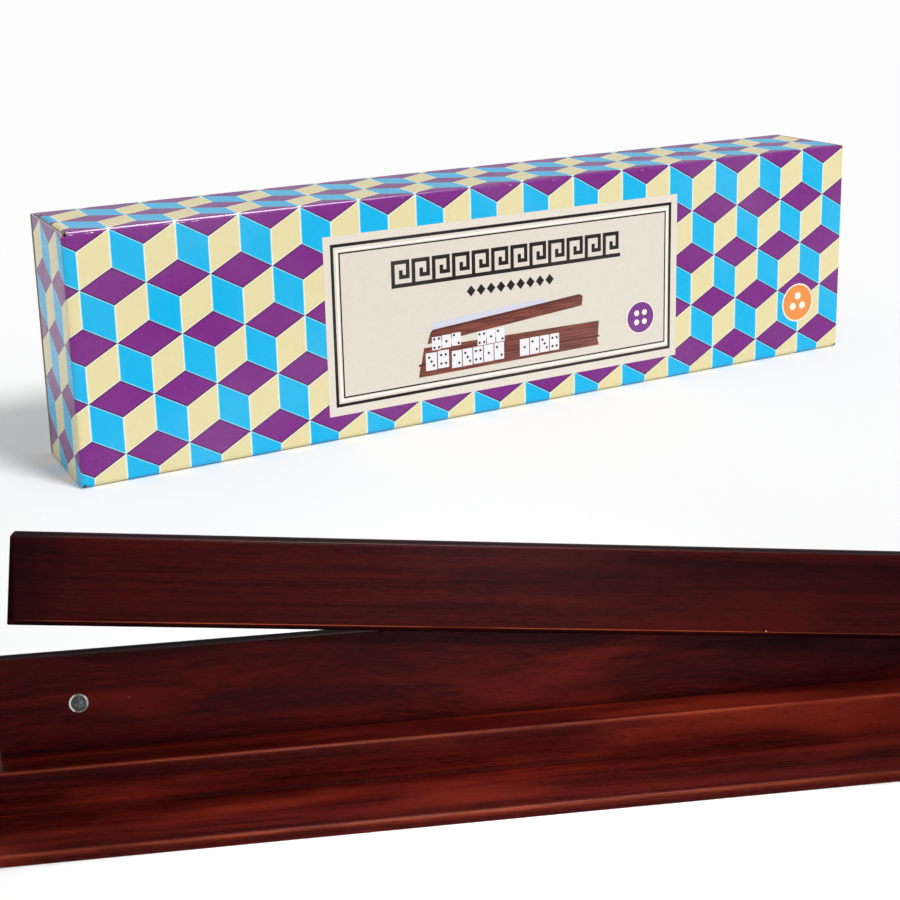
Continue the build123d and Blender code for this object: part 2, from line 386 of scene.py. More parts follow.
def tumbling_blocks():
    """Two lattices of hexagon middles, one shifted by half a period and one and a half sides. Wrapping
    U and V gives a point's place from the nearest middle of each, and the nearer one is its cell. It is
    on the cell's top where Y is more than the size of X over the square root of three, and otherwise
    on its left or right side. Its distance from a line is the least of those to the cell's rim and to
    the three spokes."""
    w, given, result = node_group("tumbling_blocks", {"Sheet": "vector"}, {"Colour": "colour"})
    u, v, _ = w.node("SeparateXYZ", {0: given["Sheet"]}).outputs
    cells = []
    for row in (0, 1):
        from_u = w.math("SUBTRACT", u, first_block_u + row * block_period / 2)
        from_v = w.math("SUBTRACT", v, first_block_v + row * 1.5 * block_side)
        x = w.math("WRAP", from_u, block_period / 2, -block_period / 2)
        y = w.math("WRAP", from_v, 1.5 * block_side, -1.5 * block_side)
        cells.append((x, y, w.math("ADD", w.math("MULTIPLY", x, x), w.math("MULTIPLY", y, y))))
    nearer = w.math("LESS_THAN", cells[0][2], cells[1][2])
    x = w.between(nearer, cells[1][0], cells[0][0])
    y = w.between(nearer, cells[1][1], cells[0][1])
    wide = w.math("ABSOLUTE", x)
    rise = w.math("SUBTRACT", y, w.math("DIVIDE", wide, math.sqrt(3)))
    on_top = w.math("GREATER_THAN", rise, 0.0)
    on_right = w.math("GREATER_THAN", x, 0.0)
    slant = w.math("MULTIPLY_ADD", w.math("ABSOLUTE", y), math.sqrt(0.75), w.math("MULTIPLY", wide, 0.5))
    rim = w.math("SUBTRACT", block_period / 2, w.math("MAXIMUM", wide, slant))
    upper_spoke = w.math("MULTIPLY", w.math("ABSOLUTE", rise), math.sqrt(0.75))
    lower_spoke = w.math("ADD", wide, w.math("GREATER_THAN", y, 0.0))
    distance = w.math("MINIMUM", rim, w.math("MINIMUM", upper_spoke, lower_spoke))
    past_pale = w.step(distance, pale_line_half - line_blur, pale_line_half + line_blur)
    past_dark = w.step(distance, dark_line_half - line_blur, dark_line_half + line_blur)

    ahead = w.math("SINE", w.math("MULTIPLY", w.math("ADD", u, v), 2 * math.pi / hatch_pitch))
    across = w.math("SINE", w.math("MULTIPLY", w.math("SUBTRACT", u, v), 2 * math.pi / hatch_pitch))
    hatch = w.math("ADD", ahead, w.math("MULTIPLY", across, 0.5))
    purple = w.mix(w.step(hatch, -1.2, 1.2), purple_deep, purple_bright)
    sides = w.mix(on_right, cyan, cream)
    side_lines = w.mix(on_right, cyan_line, cream_line)
    top_face = w.mix(past_dark, purple_line, purple)
    side_face = w.mix(past_pale, side_lines, sides)
    w.feed(result, Colour=w.mix(on_top, side_face, top_face))
    return w.tree


blocks_group = tumbling_blocks()
print("blocks", round(block_period / MM, 2), "mm apart,", len(blocks_group.nodes), "nodes")


# %% Ink on board: a soft unevenness that every printed colour shares
def offset_ink():
    """A colour with two unevennesses, fine speckles of the screen and broad paler clouds, and the soft
    ripple of the varnish over it as a height."""
    w, given, result = node_group(
        "offset_ink", {"Place": "vector", "Colour": "colour"},
        {"Colour": "colour", "Roughness": "number", "Height": "number"},
    )
    place = given["Place"]
    clouds = w.step(w.noise(place, 14.0), 0.35, 0.75, 0.0, 0.035)
    speckle = w.step(w.noise(place, 1900.0, 1.0), 0.35, 0.7, 0.0, 0.06)
    clouded = w.mix(clouds, given["Colour"], paper_white)
    w.feed(
        result, Colour=w.mix(speckle, clouded, paint("2A2230")),
        Roughness=w.step(w.noise(place, 90.0, 3.0), 0.3, 0.7, 0.22, 0.32),
        Height=w.noise(place, 420.0),
    )
    return w.tree


# %% Scuffs: where a fold rubs, the ink flakes off in dashes and shows white paper
def fold_scuffs():
    """A noise that changes along U and hardly across it, which passes the threshold in dashes where
    the wear is high. A slower noise makes some stretches almost whole and leaves others clean."""
    w, given, result = node_group(
        "fold_scuffs", {"Sheet": "vector", "Wear": "number"}, {"Mask": "number"}
    )
    dashes = w.noise(given["Sheet"], (420, 500, 1), 2.0, 0.6)
    patches = w.step(w.noise(given["Sheet"], 36.0), 0.36, 0.62)
    rubbed = w.math("MULTIPLY", given["Wear"], w.math("MULTIPLY_ADD", patches, 0.12, 0.34))
    w.feed(result, Mask=w.step(w.math("MULTIPLY_ADD", dashes, 0.62, rubbed), 0.66, 0.70))
    return w.tree


ink_group = offset_ink()
scuff_group = fold_scuffs()
print("ink and scuff groups:", len(ink_group.nodes) + len(scuff_group.nodes), "nodes")

# %% The varnished print, the board's inside and its cut edge
print_shine = 0.14
varnish_depth = 0.02 * MM
grey_board = paint("A79F90")


def varnished_print():
    """Blocks under ink grain, rubbed through to paper on the folds, with a thin gloss varnish."""
    material, w, shader = new_material(
        "varnished_print", Specular_IOR_Level=print_shine, Coat_Weight=0.12, Coat_Roughness=0.2
    )
    sheet = w.sheet()
    blocks = w.group(blocks_group, Sheet=sheet)
    ink = w.group(ink_group, Place=sheet, Colour=blocks["Colour"])
    mask = w.group(scuff_group, Sheet=sheet, Wear=w.kept("wear"))["Mask"]
    flaked = w.math("SUBTRACT", ink["Height"], mask)
    w.feed(
        shader, Base_Color=w.mix(mask, ink["Colour"], paper_white),
        Roughness=w.between(mask, ink["Roughness"], 0.75), Normal=w.bump(flaked, varnish_depth),
    )
    return material


def board_inside():
    """Grey uncoated board: short darker and lighter fibres lying every way."""
    material, w, shader = new_material("board_inside", Roughness=0.9)
    sheet = w.sheet()
    fibres = w.noise(sheet, (700, 2300, 1), 4.0, 0.7)
    crossed = w.noise(sheet, (2300, 700, 1), 4.0, 0.7)
    both = w.math("MAXIMUM", fibres, crossed)
    grey = w.mix(w.step(both, 0.45, 0.75), grey_board, paint("C2BBAC"))
    w.feed(shader, Base_Color=grey, Normal=w.bump(both, 0.06 * MM))
    return material


def raw_kraft_edge():
    """The cut edge: white paper outside, then brown core in wavy plies, then the grey inside paper."""
    material, w, shader = new_material("raw_kraft_edge", Roughness=0.85)
    layer = w.kept("layer")
    waves = w.noise(w.sheet(), 260.0, 3.0, 0.6)
    plies = w.math("SINE", w.math("MULTIPLY_ADD", layer, 26.0, w.math("MULTIPLY", waves, 9.0)))
    core = w.mix(w.step(plies, -0.8, 0.8), paint("5A3F2A"), paint("8C6B49"))
    outer = w.mix(w.step(layer, 0.16, 0.22), paper_white, core)
    whole = w.mix(w.step(layer, 0.86, 0.92), outer, grey_board)
    w.feed(shader, Base_Color=whole, Normal=w.bump(w.math("ADD", plies, waves), 0.08 * MM))
    return material


board_materials = [varnished_print(), board_inside(), raw_kraft_edge()]
print("board skins:", [m.name for m in board_materials])

# %% [markdown]
# ## The sleeve
# The sleeve is one sheet folded round four long creases. Its section is a rounded rectangle, and its
# two ends aren't straight cuts: the front wall stops at a round groove in which the closure's crease
# turns, and the top and bottom walls stop at the grooves of the dust flaps. So the reach along X is a
# function of the place on the section and of the depth in the board.

# %% The panels' slight hollows
hollow_depth = 0.26 * MM


def hollow(along, across):
    """How far a panel dips in: a product of two half sine waves times a slow ripple, zero at the folds."""
    bowl = np.sin(np.pi * np.clip(across, 0, 1)) * np.sin(np.pi * np.clip(along, 0, 1))
    ripple = 0.65 + 0.2 * np.sin(7.3 * along + 1.1) + 0.15 * np.sin(17 * along + 5 * across)
    return hollow_depth * bowl * ripple


def front_hollow(x, z):
    """The front panel's dip at a point of it."""
    return hollow((x + end_x) / (2 * end_x), (z - fold_radius) / (top_z - 2 * fold_radius))


# %% The sleeve's section, from the back edge under the carton, over the front and top, down the back
wall_points = 34
depth_points = 24
fold_points = 11
beside_cut = 0.02 * MM


def wall_stations():
    """Matching places on the outer and inner skins, close together where the walls' ends step. The
    front folds are rounder than the rear ones, and a fold's inner skin has a small radius of its own,
    because folding crushes the board there."""
    y0, y1, z1, front, rear = front_y, back_y, top_z, fold_radius, rear_fold_radius
    cuts = np.array([flap_near - crease_gap, flap_far + crease_gap, room_rear])
    run = np.linspace(y0 + front, y1 - rear, depth_points)
    run = np.sort(np.concatenate([run, cuts - beside_cut, cuts + beside_cut]))
    rise = np.linspace(front, z1 - front, wall_points)
    rear_rise = np.linspace(rear, z1 - rear, wall_points)

    def wall(y, z, inward_y, inward_z):
        outer = np.stack(np.broadcast_arrays(y, z), -1)
        return outer, outer + board * np.array([inward_y, inward_z])

    def fold(corner, inward, radius, start):
        corner, inward = np.array(corner), np.array(inward)
        outer = arc(corner + radius * inward, radius, start, start - 90, fold_points + 2)[1:-1]
        inner = arc(corner + (board + fold_inside) * inward, fold_inside, start, start - 90, fold_points)
        return outer, inner

    pieces = [
        wall(run[::-1], 0.0, 0, 1), fold((y0, 0), (1, 1), front, -90),
        wall(y0, rise, 1, 0), fold((y0, z1), (1, -1), front, 180),
        wall(run, z1, 0, -1), fold((y1, z1), (-1, -1), rear, 90),
        wall(y1, rear_rise[::-1], -1, 0), fold((y1, 0), (-1, 1), rear, 0),
    ]
    return np.concatenate([p[0] for p in pieces]), np.concatenate([p[1] for p in pieces])


section_outer, section_inner = wall_stations()
section_length = path_length(section_outer)
print("section stations:", len(section_outer), "girth", round(section_length[-1] / MM, 1), "mm")

# %% Where each station's wall ends, at each depth in the board
groove_radius = board
just_over = 1.01
tip_gap = 0.07 * MM
sleeve_depths = 1 - np.cos(np.radians(np.linspace(0, 90, 7)))


def groove(from_crease):
    """How far a round groove cuts in at a distance from its crease: the root of the radius squared
    less the distance squared."""
    return np.sqrt(np.maximum(groove_radius ** 2 - from_crease ** 2, 0))


def wall_reach(y, z):
    """How far along X the wall goes at a place on the section. The closure's groove is as high as the
    carton, and the flaps' grooves are in the top and bottom walls, over the flaps' width."""
    reach = np.where(y < room_rear, shut_x, end_x)
    in_flap = (y > flap_near - crease_gap) & (y < flap_far + crease_gap)
    for level in (board, top_z - board):
        from_crease = np.abs(z - level)
        flap_reach = flap_crease_x - np.maximum(groove(from_crease), tip_gap / 2)
        near = in_flap & (from_crease < just_over * board)
        reach = np.where(near, np.minimum(reach, flap_reach), reach)
    from_crease = np.abs(y - crease_y)
    closure_reach = crease_x - np.maximum(groove(from_crease), tip_gap)
    near = from_crease < just_over * board
    return np.where(near, np.minimum(reach, closure_reach), reach)


through = (section_inner - section_outer)[:, None] * sleeve_depths[None, :, None]
layer_section = section_outer[:, None] + through
sleeve_reach = wall_reach(layer_section[..., 0], layer_section[..., 1])
print("the walls end between", (np.array([sleeve_reach.min(), sleeve_reach.max()]) / MM).round(2), "mm")

# %% The print's own coordinates: X along the carton, and height on the front carried on round the folds
on_front_wall = np.abs(section_outer[:, 0] - front_y) < 0.001 * MM
front_start = section_length[on_front_wall].min()
fold_length = math.pi * fold_radius / 2
rear_fold_length = math.pi * rear_fold_radius / 2


def sheet_v(length):
    """Length along the section, counted so that it equals the height on the front panel."""
    return length - front_start + fold_radius


folds = [fold_radius - fold_length / 2, top_z - fold_radius + fold_length / 2]
top_run = back_y - front_y - fold_radius - rear_fold_radius
folds.append(folds[1] + (fold_length + rear_fold_length) / 2 + top_run)
folds.append(folds[2] + rear_fold_length + top_z - 2 * rear_fold_radius)
print("folds at", [round(f / MM, 2) for f in folds], "mm up the sheet")

# %% Where the sleeve is worn: how much on each fold, and the two lines on it as place, width and strength
fold_wear = (0.55, 1.0, 0.8, 0.55)
scuff_lines = ((-0.9 * MM, 0.30 * MM, 1.0), (1.9 * MM, 0.26 * MM, 0.8))
right_fade = 0.22
end_wear = 0.5
cut_width = 1.2 * MM


def sleeve_wear(length, x):
    """Bell curves about two lines on each fold, where its rounding starts and ends, and about the cut
    ends. The wear is strongest at the left end and fades along the carton."""
    v = sheet_v(length)
    lines = sum(
        much * strength * bell(v - fold - place, width)
        for fold, much in zip(folds, fold_wear) for place, width, strength in scuff_lines
    )
    fade = 1 - right_fade * (x + end_x) / (2 * end_x)
    return np.clip(lines * fade + end_wear * bell(end_x - np.abs(x), cut_width), 0, 1)


# %% Build the sleeve
def sleeve_place(y, z, x):
    """Section Y and Z with X across it, the front and top panels dipped by their hollows."""
    on_front = np.clip(1 - np.abs(y - front_y) / board, 0, 1)
    on_front = on_front * (z > fold_radius) * (z < top_z - fold_radius)
    on_top = np.clip(1 - np.abs(z - top_z) / board, 0, 1)
    on_top = on_top * (y > front_y + fold_radius) * (y < back_y - rear_fold_radius)
    across_top = (y - front_y - fold_radius) / top_run
    dip = hollow((x + end_x) / (2 * end_x), across_top)
    return np.stack([x, y + on_front * front_hollow(x, z), z - on_top * dip], -1)


end_shares = np.array([0.0, 0.003, 0.006])
across_sleeve = np.concatenate([end_shares, np.linspace(0.012, 0.988, 69), 1 - end_shares[::-1]])
carton_sleeve = folded_sheet(
    "printed_sleeve", section_outer, section_inner, -sleeve_reach, sleeve_reach, across_sleeve,
    sleeve_place, lambda s, x: (x, sheet_v(s)), sleeve_wear, sleeve_depths, ring=True,
)
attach(carton_sleeve, "carton")
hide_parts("carton_sleeve")
print("sleeve faces:", len(carton_sleeve.data.polygons))

# %% [markdown]
# ## The closures
# Each end is shut by a panel that turns on the front wall's vertical crease and tucks a tongue in
# behind the back wall. Its path starts a little under the wall's tip, so that no slit shows as it
# turns, rolls round the crease on an arc, runs straight across the end and bends into the leaning
# tongue. The print runs on round the crease, so its U goes on counting.

# %% The crease's roll, which closures and flaps share
knuckle_radius = board - 0.10 * MM
knuckle_lead = 14
knuckle_points = 11
lead_length = knuckle_radius * math.radians(knuckle_lead)
heart_radius = 0.15 * MM
knuckle_ease = 3.0 * MM
plate_start = np.linspace(0.5, 3.0, 6) * MM
plate_second = 5.0 * MM


def knuckle(crease):
    """Outer and inner points of the roll about a crease, from its lead under the wall to the plate."""
    outer = arc(crease, knuckle_radius, -90 - knuckle_lead, 0, knuckle_points)
    inner = arc(crease, heart_radius, -90 - knuckle_lead, 0, knuckle_points)
    inner[:, 0] = np.minimum(inner[:, 0], crease[0])
    return outer, inner


def plate(crease, run):
    """Outer and inner points of a plate at distances from its crease. The outer skin is as far out as
    the knuckle's radius, eased to the thickness of the board."""
    skin = knuckle_radius + (board - knuckle_radius) * eased(run / knuckle_ease)
    outer = np.stack([crease[0] + skin, crease[1] + run], -1)
    return outer, np.stack([crease[0] + 0 * run, crease[1] + run], -1)


# %% The closure's path
tongue_bend = 1.6 * MM
bend_points = 9
tongue_length = 14.0 * MM
tongue_tip = closure_low.x
tongue_lean = math.atan(tongue_length / (2 * (panel_top[0] + back_thickness * math.cos(panel_lean))))
plate_end = closure_high.y
tongue_corner = 6.0 * MM
tongue_inset = board + 1.2 * MM


def closure_path():
    """Outer and inner points: the knuckle, the plate, a bend and the leaning tongue, whose points draw
    together towards its rounded tip."""
    crease = (crease_x, crease_y)
    bend_y = plate_end - tongue_bend
    rest = np.linspace(plate_second, bend_y - crease_y - 1 * MM, 18)
    skins = [knuckle(crease), plate(crease, np.concatenate([plate_start, rest]))]
    turn = 90 + math.degrees(tongue_lean)
    bend_out, bend_in = (
        arc((end_x - tongue_bend, bend_y), radius, 0, turn, bend_points)
        for radius in (tongue_bend, tongue_bend - board)
    )
    along = np.array([-math.cos(tongue_lean), -math.sin(tongue_lean)])
    tongue_run = (bend_out[-1, 0] - tongue_tip) / math.cos(tongue_lean) - 0.3 * MM
    near_tip = 0.5 + 0.5 * np.sin(np.linspace(0.1, 1, 9) * np.pi / 2)
    steps = tongue_run * np.concatenate([[0.002, 0.2, 0.4], near_tip])
    skins.append((bend_out, bend_in))
    skins.append((bend_out[-1] + along * steps[:, None], bend_in[-1] + along * steps[:, None]))
    outer, inner = (np.concatenate([skin[k] for skin in skins]) for k in (0, 1))
    return outer, inner, steps, tongue_run


closure_outer, closure_inner, tongue_steps, tongue_run = closure_path()
lean_degrees = math.degrees(tongue_lean)
print("tongue", round(tongue_run / MM, 1), "mm long, leaning", round(lean_degrees, 1), "degrees")


# %% The closure's lower edge, of which the upper one is the mirror image
def rounding(past, radius):
    """How far a quarter round draws in: the radius less the root of its square less past squared."""
    return radius - np.sqrt(radius ** 2 - np.clip(past, 0, radius) ** 2)


def closure_edge():
    """The edge follows the sleeve's own front fold, runs level, and comes in for the tongue, which has
    rounded corners."""
    edge = np.full(len(closure_outer), closure_low.z)
    past_corner = tongue_steps - (tongue_run - tongue_corner)
    edge[-len(tongue_steps):] = tongue_inset + rounding(past_corner, tongue_corner)
    edge = np.maximum(edge, rounding(front_y + fold_radius - closure_outer[:, 1], fold_radius))
    return np.repeat(edge[:, None], 2, 1)


closure_foot = closure_edge()
print("closure's edge between", (np.array([closure_foot.min(), closure_foot.max()]) / MM).round(2), "mm")

# %% Build both closures, the left one as the mirror image
crease_wear_strength = 0.5
closure_cut_wear = 0.7
closure_cut_width = 0.9 * MM


def crease_wear(length):
    """Over a half in the middle of the knuckle, falling off as a bell curve."""
    return crease_wear_strength * bell(length - lead_length - math.pi * board / 4, cut_width)


def closure_wear(length, z):
    """Worn at the crease and along the cut edges."""
    from_edge = np.minimum(z - closure_low.z, closure_high.z - z)
    return np.clip(crease_wear(length) + closure_cut_wear * bell(from_edge, closure_cut_width), 0, 1)


for side, sign in (("left", -1), ("right", 1)):
    closure = folded_sheet(
        f"printed_{side}_closure", closure_outer, closure_inner, closure_foot, top_z - closure_foot,
        np.linspace(0, 1, 25), lambda x, y, z, s=sign: np.stack([s * x, y, z], -1),
        lambda length, z, s=sign: (s * (crease_x + length - lead_length), z), closure_wear,
    )
    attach(closure, f"{side}_closure")
    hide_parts(f"{side}_closure")
print("closure faces:", len(closure.data.polygons))

# %% [markdown]
# ## The dust flaps
# A flap turns on the end crease of the top or bottom wall and lies behind the closure. It tapers at
# 45 degrees towards the closure's hinge, so that it clears the closure as both swing out together.

# %% The flap's path, edges and corners
flap_tip = flap_high.z
flap_corner = 3.0 * MM
flap_rear_taper = math.radians(4.0)
near_corner_share = 0.4


def flap_path():
    """Outer and inner points in X and Z: the same knuckle on the crease and a straight plate."""
    crease = (flap_crease_x, board)
    tip_run = flap_corner * (1 - np.sin(np.linspace(0.15, 1, 7) * np.pi / 2))
    rest = np.linspace(plate_second, flap_tip - flap_corner - board, 12)
    run = np.concatenate([plate_start, rest, flap_tip - board - tip_run])
    return (np.concatenate(skins) for skins in zip(knuckle(crease), plate(crease, run)))


flap_outer, flap_inner = flap_path()
flap_rise = np.maximum(flap_outer[:, 1] - board, 0)
round_off = rounding(flap_outer[:, 1] - (flap_tip - flap_corner), flap_corner)
near_edge = flap_near + flap_rise + near_corner_share * round_off
far_edge = flap_far - flap_rise * math.tan(flap_rear_taper) - round_off
flap_near_edge, flap_far_edge = (np.repeat(edge[:, None], 2, 1) for edge in (near_edge, far_edge))
print("flap", round((flap_far - flap_near) / MM, 1), "mm wide, its tip", round(flap_tip / MM, 1), "mm up")

# %% Build the four flaps
flap_tip_wear = 0.6


def flap_wear(length, y):
    """Worn at the crease and along the free edge."""
    return np.clip(crease_wear(length) + flap_tip_wear * bell(flap_tip - length, cut_width), 0, 1)


def flap_uv(sign, upper):
    """The print runs on from the wall: U counts on past the crease, V is the wall's own."""
    def at(length, y):
        v = y - front_y - fold_radius + fold_length
        u = sign * (flap_crease_x + length - lead_length)
        return u, top_z - fold_radius + v if upper else fold_radius - v
    return at


for side, sign in (("left", -1), ("right", 1)):
    for level in ("bottom", "top"):
        upper = level == "top"
        flap = folded_sheet(
            f"printed_{side}_{level}_flap", flap_outer, flap_inner, flap_near_edge, flap_far_edge,
            np.linspace(0, 1, 13),
            lambda x, z, y, s=sign, u=upper: np.stack([s * x, y, top_z - z if u else z], -1),
            flap_uv(sign, upper), flap_wear,
        )
        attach(flap, f"{side}_{level}_flap")
        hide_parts(f"{side}_{level}_flap")
print("flap faces:", len(flap.data.polygons))

# %% [markdown]
# ## The label
# On the front is a pale label with a double black border. What stands in it here is generic: a Greek
# key band, a row of lozenges, a flat drawing of a rack with plain tiles, and two plain discs. Each is a
# set of small printed patches on grids of points, laid on the front panel's own dipped surface, so that
# they follow it exactly. An image would be quicker, but patches stay sharp at any distance.


# %% Patches on the front panel
def front_patches(name, patches, level, material):
    """Thin printed pieces on the front. patches holds X and Z for each piece on a grid of points. Each
    is a closed sheet: its face stands a few hundredths of a millimetre proud, more for a higher level,
    and its rear lies just behind, so that later layers of print cover earlier ones."""
    count, n, m, _ = patches.shape
    x, z = patches[..., 0], patches[..., 1]
    surface = front_y + front_hollow(x, z)
    proud = np.array([0.035, 0.015]) * MM + level * 0.015 * MM
    points = np.stack([np.stack([x, surface - depth, z], -1) for depth in proud], -2)
    quads, _ = block_skin((n, m, 2))
    flat = (quads[..., 0] * m + quads[..., 1]) * 2 + quads[..., 2]
    corners = (flat[None] + (np.arange(count) * n * m * 2)[:, None, None]).reshape(-1, 4)
    obj = mesh_object(name, points.reshape(-1, 3), corners, materials=[material])
    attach(obj, "carton")
    return obj


# %% Grids of points over simple shapes
def rectangles(centres, width, height, n=2, m=2):
    """A grid of n by m points over a rectangle of one size about each centre."""
    across, up = np.meshgrid(np.linspace(-0.5, 0.5, n), np.linspace(-0.5, 0.5, m), indexing="ij")
    spread = np.stack([across * width, up * height], -1)
    return np.array(centres, float).reshape(-1, 1, 1, 2) + spread


def slanted(quads, n=2, m=2):
    """Grids of n by m points over four-cornered shapes: each point mixes the four corners by its two
    shares. The corners go round from the low left one."""
    s, t = np.meshgrid(np.linspace(0, 1, n), np.linspace(0, 1, m), indexing="ij")
    shares = np.stack([(1 - s) * (1 - t), s * (1 - t), s * t, (1 - s) * t], -1)
    return np.einsum("ijk,ckd->cijd", shares, np.array(quads, float))


def discs(centres, radius, n):
    """A square grid squeezed into a circle: s and t go to s times the root of 1 less half t squared, and
    t times the root of 1 less half s squared."""
    s, t = np.meshgrid(np.linspace(-1, 1, n), np.linspace(-1, 1, n), indexing="ij")
    spread = radius * np.stack([s * np.sqrt(1 - t * t / 2), t * np.sqrt(1 - s * s / 2)], -1)
    return np.array(centres, float).reshape(-1, 1, 1, 2) + spread


def strokes(path, width, closed=False, pieces=1):
    """A line of some width along a path, one patch for each of its runs. At a corner both runs end on
    the mitre: half the width along the sum of their two normals, over 1 plus the normals' product."""
    path = np.array(path, float)
    ahead = np.roll(path, -1, 0) - path
    ahead /= np.linalg.norm(ahead, axis=1)[:, None]
    normal = np.stack([-ahead[:, 1], ahead[:, 0]], -1)
    before = np.roll(normal, 1, 0)
    if not closed:
        before[0], normal[-1] = normal[0], before[-1]
    mitre = (before + normal) / (1 + (before * normal).sum(1))[:, None] * width / 2
    share = np.linspace(0, 1, pieces + 1)[None, :, None, None]
    start = np.stack([path + mitre, path - mitre], 1)[:, None]
    end = np.roll(start, -1, 0)
    runs = start * (1 - share) + end * share
    return runs if closed else runs[:-1]


# %% Inks for the label
def flat_ink(name, code):
    """A plain printed colour with the shared unevenness of ink, under the same varnish."""
    material, w, shader = new_material(
        name, Specular_IOR_Level=print_shine, Coat_Weight=0.1, Coat_Roughness=0.25
    )
    ink = w.group(ink_group, Place=w.place(), Colour=paint(code))
    w.feed(
        shader, Base_Color=ink["Colour"], Roughness=ink["Roughness"],
        Normal=w.bump(ink["Height"], varnish_depth),
    )
    return material


def drawn_wood_ink(name, dark, light):
    """Brown ink in fine lines along X, as a drawn board's grain."""
    material, w, shader = new_material(
        name, Specular_IOR_Level=print_shine, Coat_Weight=0.1, Coat_Roughness=0.25
    )
    place = w.place()
    lines = w.step(w.noise(place, (60, 60, 1500), 3.0), 0.36, 0.64)
    ink = w.group(ink_group, Place=place, Colour=w.mix(lines, paint(dark), paint(light)))
    w.feed(shader, Base_Color=ink["Colour"], Roughness=ink["Roughness"])
    return material


label_ground = flat_ink("label_cream", "E4DCCE")
label_field = flat_ink("label_field_cream", "DFD7CA")
label_black = flat_ink("label_black", "1E1B18")
label_white = flat_ink("label_white", "F7F3EA")
label_lilac = flat_ink("label_lilac", "D3D4E4")
tile_white = flat_ink("drawn_tile_white", "EDEBEE")
disc_purple = flat_ink("disc_purple", "77308A")
disc_orange = flat_ink("disc_orange", "EC9040")
disc_pale = flat_ink("disc_pale", "F6F0DE")
board_brown = drawn_wood_ink("drawn_board_brown", "5E2F28", "8A4C3E")
ledge_brown = drawn_wood_ink("drawn_ledge_brown", "4A221E", "6E382F")
print("inks:", len([m for m in bpy.data.materials if m.name.startswith(("label", "drawn", "disc"))]))

# %% The label's ground and its border of three lines, each with its middle, size and stroke in millimetres
label_centre = np.array([3.5, 61.45]) * MM
label_size = np.array([221.0, 95.9]) * MM
label_grid = (61, 27)
label_borders = (
    ("thick", (3.4, 61.6), (211.2, 85.2), 1.7, label_black),
    ("pale", (3.6, 61.5), (206.6, 79.9), 1.1, label_white),
    ("thin", (3.7, 61.5), (203.8, 77.0), 0.8, label_black),
)
half_steps = np.array([(-1, -1), (1, -1), (1, 1), (-1, 1)]) / 2

front_patches("label_ground", rectangles([label_centre], *label_size, *label_grid), 0, label_ground)
_, field_centre, field_size, _, _ = label_borders[-1]
field = rectangles([np.array(field_centre) * MM], *(np.array(field_size) * MM), *label_grid)
front_patches("label_field", field, 1, label_field)
for name, centre, size, stroke, ink in label_borders:
    path = (np.array(centre) + half_steps * size) * MM
    front_patches(f"label_{name}_border", strokes(path, stroke * MM, closed=True, pieces=60), 2, ink)
print("label", (label_size / MM).round(), "mm")

# %% A Greek key band and a row of lozenges
key_unit = 12.0 * MM
key_height = 12.6 * MM
key_count = 12
key_left = -68.0 * MM
key_foot = 78.6 * MM
key_stroke = 2.15 * MM
key_turns = np.array([(0, 0), (0, 1), (0.72, 1), (0.72, 0.36), (0.38, 0.36), (0.38, 0.66)])


def key_band():
    """Each unit climbs from the foot line, turns over the top and curls in. The foot line joins them."""
    lefts = [key_left + k * key_unit for k in range(key_count)]
    units = [key_turns * (key_unit, key_height) + (left, key_foot) for left in lefts]
    foot = [(key_left - key_stroke / 2, key_foot), (key_left + (key_count - 0.1) * key_unit, key_foot)]
    runs = np.concatenate([strokes(path, key_stroke) for path in units])
    return runs, strokes(foot, key_stroke, pieces=40)


key_runs, key_foot_line = key_band()
front_patches("key_band", key_runs, 2, label_black)
front_patches("key_foot_line", key_foot_line, 3, label_black)

lozenge_count = 9
lozenge_pitch = 6.2 * MM
lozenge_middle = np.array([3.0, 70.2]) * MM
lozenge_half = np.array([2.7, 3.1]) * MM
lozenge_places = np.arange(lozenge_count) - (lozenge_count - 1) / 2
lozenge_spots = lozenge_middle + lozenge_places[:, None] * (lozenge_pitch, 0)
lozenge_corners = np.array([(-1, 0), (0, -1), (1, 0), (0, 1)]) * lozenge_half
front_patches("lozenge_row", slanted(lozenge_spots[:, None] + lozenge_corners), 2, label_black)
print("key units:", key_count, "lozenges:", lozenge_count)

# %% A flat drawing of a rack, its bar lifted off: each piece's corners in millimetres, level and ink
drawn_pieces = (
    ("shade", ((-47, 50.5), (24, 55.5), (25, 60), (-45, 56)), 2, label_lilac),
    ("bar_face", ((-49, 44.4), (48.8, 52.4), (49.6, 57.6), (-47, 50.6)), 3, board_brown),
    ("bar_top", ((-47, 50.6), (49.6, 57.6), (47.6, 59.2), (-45.4, 52.0)), 4, ledge_brown),
    ("panel", ((-53, 33.4), (59.6, 33.2), (60.4, 42.0), (-51, 42.6)), 2, board_brown),
    ("ledge", ((-54.6, 26.6), (60.2, 27.8), (59.0, 33.2), (-53.4, 33.4)), 3, board_brown),
    ("lip", ((-54.6, 32.7), (60.6, 32.5), (60.4, 33.7), (-54.4, 33.9)), 4, ledge_brown),
)
for name, corners, level, ink in drawn_pieces:
    front_patches(f"drawn_{name}", slanted([np.array(corners) * MM], 41, 2), level, ink)
print("drawn pieces:", len(drawn_pieces))

